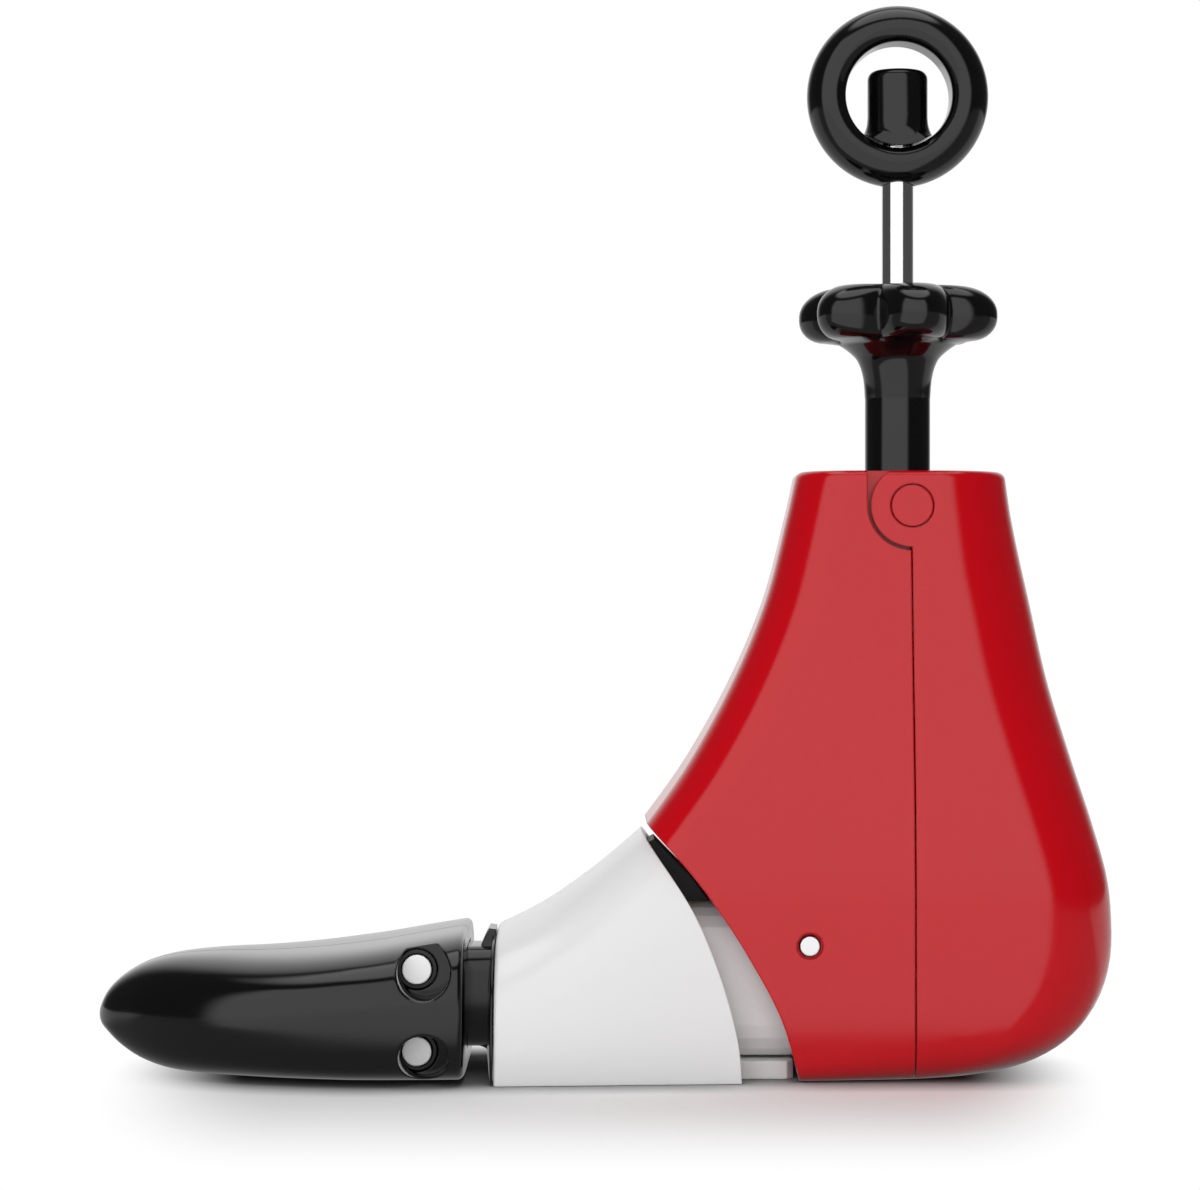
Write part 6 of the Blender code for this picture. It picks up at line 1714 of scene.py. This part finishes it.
@dataclass
class Studio:
    """The floor, the light all round and the camera.

    Args:
        eye: Where the camera stands.
        lens: Its focal length in millimetres.
        sensor: Width of its sensor in millimetres.
        floor_size: Width of the floor.
        floor_drop: How far the floor lies below the part.
        floor_tones: Grey of the floor under the part's edge, where its colour is darkened as a painted
            contact shadow, and in the open.
        floor_finish: Its roughness and its gloss.
        contact: Reach of the painted contact shadow: the floor's colour darkens where ambient occlusion finds
            the part.
        contact_power: How fast that painted shadow fades.
        shade: Distances from the part where the floor starts to turn white and is white.
        core: Half the length, and then the radius, of the round ended area that these count from.
        side_fade: How much sooner the floor turns white beside the part than before it.
        mirror: Distances before the part between which gloss starts to see the front panel in the floor.
        mirror_levels: Brightness that gloss sees in the floor: at least, before the part and behind it.
        window: Where the front panel starts and ends, in degrees to the right of straight ahead.
        front_top: Heights where the front panel fades out, in degrees.
        top: Heights where the top panel fades in, in degrees.
        back: Turns away from straight ahead where the pale back fades in, in degrees.
        back_top: Heights where the pale back fades out, in degrees.
        levels: Brightness of the gaps, and what front panel, top panel and back add to it.
    """

    eye: Point = (-0.0005, -0.85, 0.1129)
    lens: float = 106.25
    sensor: float = 36.0
    floor_size: float = 12.0
    floor_drop: float = 0.1 * MM
    floor_tones: tuple[float, float] = (0.16, 0.93)
    floor_finish: tuple[float, float] = (0.85, 0.15)
    contact: float = 16.0 * MM
    contact_power: float = 2.0
    shade: tuple[float, float] = (0.018, 0.125)
    core: tuple[float, float] = (0.068, 0.036)
    side_fade: float = 3.2
    mirror: tuple[float, float] = (0.112, 0.135)
    mirror_levels: Point = (0.28, 0.92, 0.4)
    window: tuple[float, ...] = (-66, -56, 25, 38)
    front_top: tuple[float, float] = (46, 52)
    top: tuple[float, float] = (58, 66)
    back: tuple[float, float] = (128, 165)
    back_top: tuple[float, float] = (50, 60)
    levels: tuple[float, ...] = (0.07, 1.29, 1.70, 0.80)

    def camera(self) -> None:
        """Set up the camera at the photograph's angle."""
        data = bpy.data.cameras.new("camera")
        data.lens, data.sensor_width = self.lens, self.sensor
        data.clip_start, data.clip_end = 0.01, 60.0
        thing = bpy.data.objects.new("camera", data)
        thing.location = self.eye
        thing.rotation_euler = (math.radians(90), 0.0, 0.0)
        bpy.context.scene.collection.objects.link(thing)
        bpy.context.scene.camera = thing

    def floor(self) -> None:
        """Lay the plain floor."""
        half = self.floor_size / 2
        mesh = bpy.data.meshes.new("floor")
        mesh.from_pydata([(-half, -half, 0.0), (half, -half, 0.0), (half, half, 0.0), (-half, half, 0.0)], [],
                         [(0, 1, 2, 3)])
        thing = bpy.data.objects.new("floor", mesh)
        thing.location.z = -self.floor_drop
        bpy.context.scene.collection.objects.link(thing)
        mesh.materials.append(self.pale())

    def pale(self) -> bpy.types.Material:
        """The floor's finish: its colour darkens near the part as a painted contact shadow, and it turns
        white away from the part's shadow.

        Returns:
            The material.
        """
        made = bpy.data.materials.new("pale_floor")
        made.use_nodes = True
        graph, nodes = Graph(made.node_tree), made.node_tree.nodes
        shader = nodes["Principled BSDF"]
        # Ambient occlusion darkens the floor's base colour near the part: a painted contact shadow over the
        # real one.
        painted_shade_openness = graph.node("ShaderNodeAmbientOcclusion", {"samples": 8}, {"Distance": self.contact}, "AO")
        greys = [(grey, grey, grey, 1.0) for grey in self.floor_tones]
        values = (graph.mix(painted_shade_openness.math("POWER", painted_shade_openness, self.contact_power), *greys), *self.floor_finish)
        for name, value in zip(("Base Color", "Roughness", "Specular IOR Level"), values):
            graph.feed(shader.inputs[name], value)
        x, y, _ = graph.split(graph.place())
        side = (x.size() - self.core[0]).higher(0.0)
        across, along = side * self.side_fade, (y * self.side_fade).higher(y * -1.0)
        away = (across * across + along * along).root() - self.core[1]
        front = (y * -1.0).step(*self.mirror) * self.front_window(
            x.math("ARCTAN2", side * x.math("SIGN", x), y * -1.0 - 0.03))
        least, before, behind = self.mirror_levels
        camera, gloss = graph.ray("Camera"), graph.ray("Glossy")
        seen = camera.higher(gloss * (least + front * before + y.step(0.0, 0.05) * behind))
        share = (away.step(*self.shade) * camera).higher(gloss)
        white = graph.node("ShaderNodeEmission", {}, {"Color": seen, "Strength": 1.0})
        mixed = graph.node("ShaderNodeMixShader", {}, {0: share, 1: Wire(graph, shader.outputs[0]), 2: white})
        graph.feed(nodes["Material Output"].inputs["Surface"], mixed)
        return made

    def rise(self, value: Wire, ends: tuple[float, float]) -> Wire:
        """Fade in over a stretch of an angle, given in degrees."""
        return value.step(*map(math.radians, ends))

    def front_window(self, turn: Wire) -> Wire:
        """The front panel's reach to both sides, from 0 to 1, for a direction seen from above."""
        return self.rise(turn, self.window[:2]) * (1.0 - self.rise(turn, self.window[2:]))

    def surround(self) -> None:
        """Light from all round: a front panel, a top panel and a pale back, with dark gaps between."""
        world = bpy.context.scene.world or bpy.data.worlds.new("studio")
        bpy.context.scene.world = world
        world.use_nodes = True
        world.node_tree.nodes.clear()
        graph = Graph(world.node_tree)
        x, y, z = graph.split(graph.node("ShaderNodeTexCoord", {}, {}, "Generated"))
        turn, height = x.math("ARCTAN2", x, y * -1.0), z.math("ARCSINE", z)
        front = self.front_window(turn) * (1.0 - self.rise(height, self.front_top))
        back = (turn * turn).step(*[math.radians(angle) ** 2 for angle in self.back])
        back = back * (1.0 - self.rise(height, self.back_top))
        gap, front_level, top_level, back_level = self.levels
        glow = gap + front * front_level + self.rise(height, self.top) * top_level + back * back_level
        light, white = [graph.node("ShaderNodeBackground", {}, {"Color": colour, "Strength": 1.0})
                        for colour in (glow, (1.0, 1.0, 1.0, 1.0))]
        chosen = graph.node("ShaderNodeMixShader", {}, {0: graph.ray("Camera"), 1: light, 2: white})
        graph.node("ShaderNodeOutputWorld", {}, {"Surface": chosen})

    def set_up(self) -> None:
        """Put floor, light and camera in place."""
        self.floor()
        self.surround()
        self.camera()
        bpy.context.scene.view_settings.view_transform = "Standard"


def main() -> None:
    """Build and dress every sub-assembly, then set up the studio."""
    logging.basicConfig(level=logging.INFO, format="%(name)s: %(message)s")
    assemblies: list[Assembly] = [HeelBlock(), LengthDrive(), WidthDrive(), Midfoot(), Toe()]
    for assembly in assemblies:
        for piece in assembly.build():
            LOG.info("built %s with %d faces", piece.name, len(piece.data.polygons))
        assembly.dress()
        LOG.info("dressed %s", type(assembly).__name__)
    Studio().set_up()


if __name__ == "__main__":
    main()
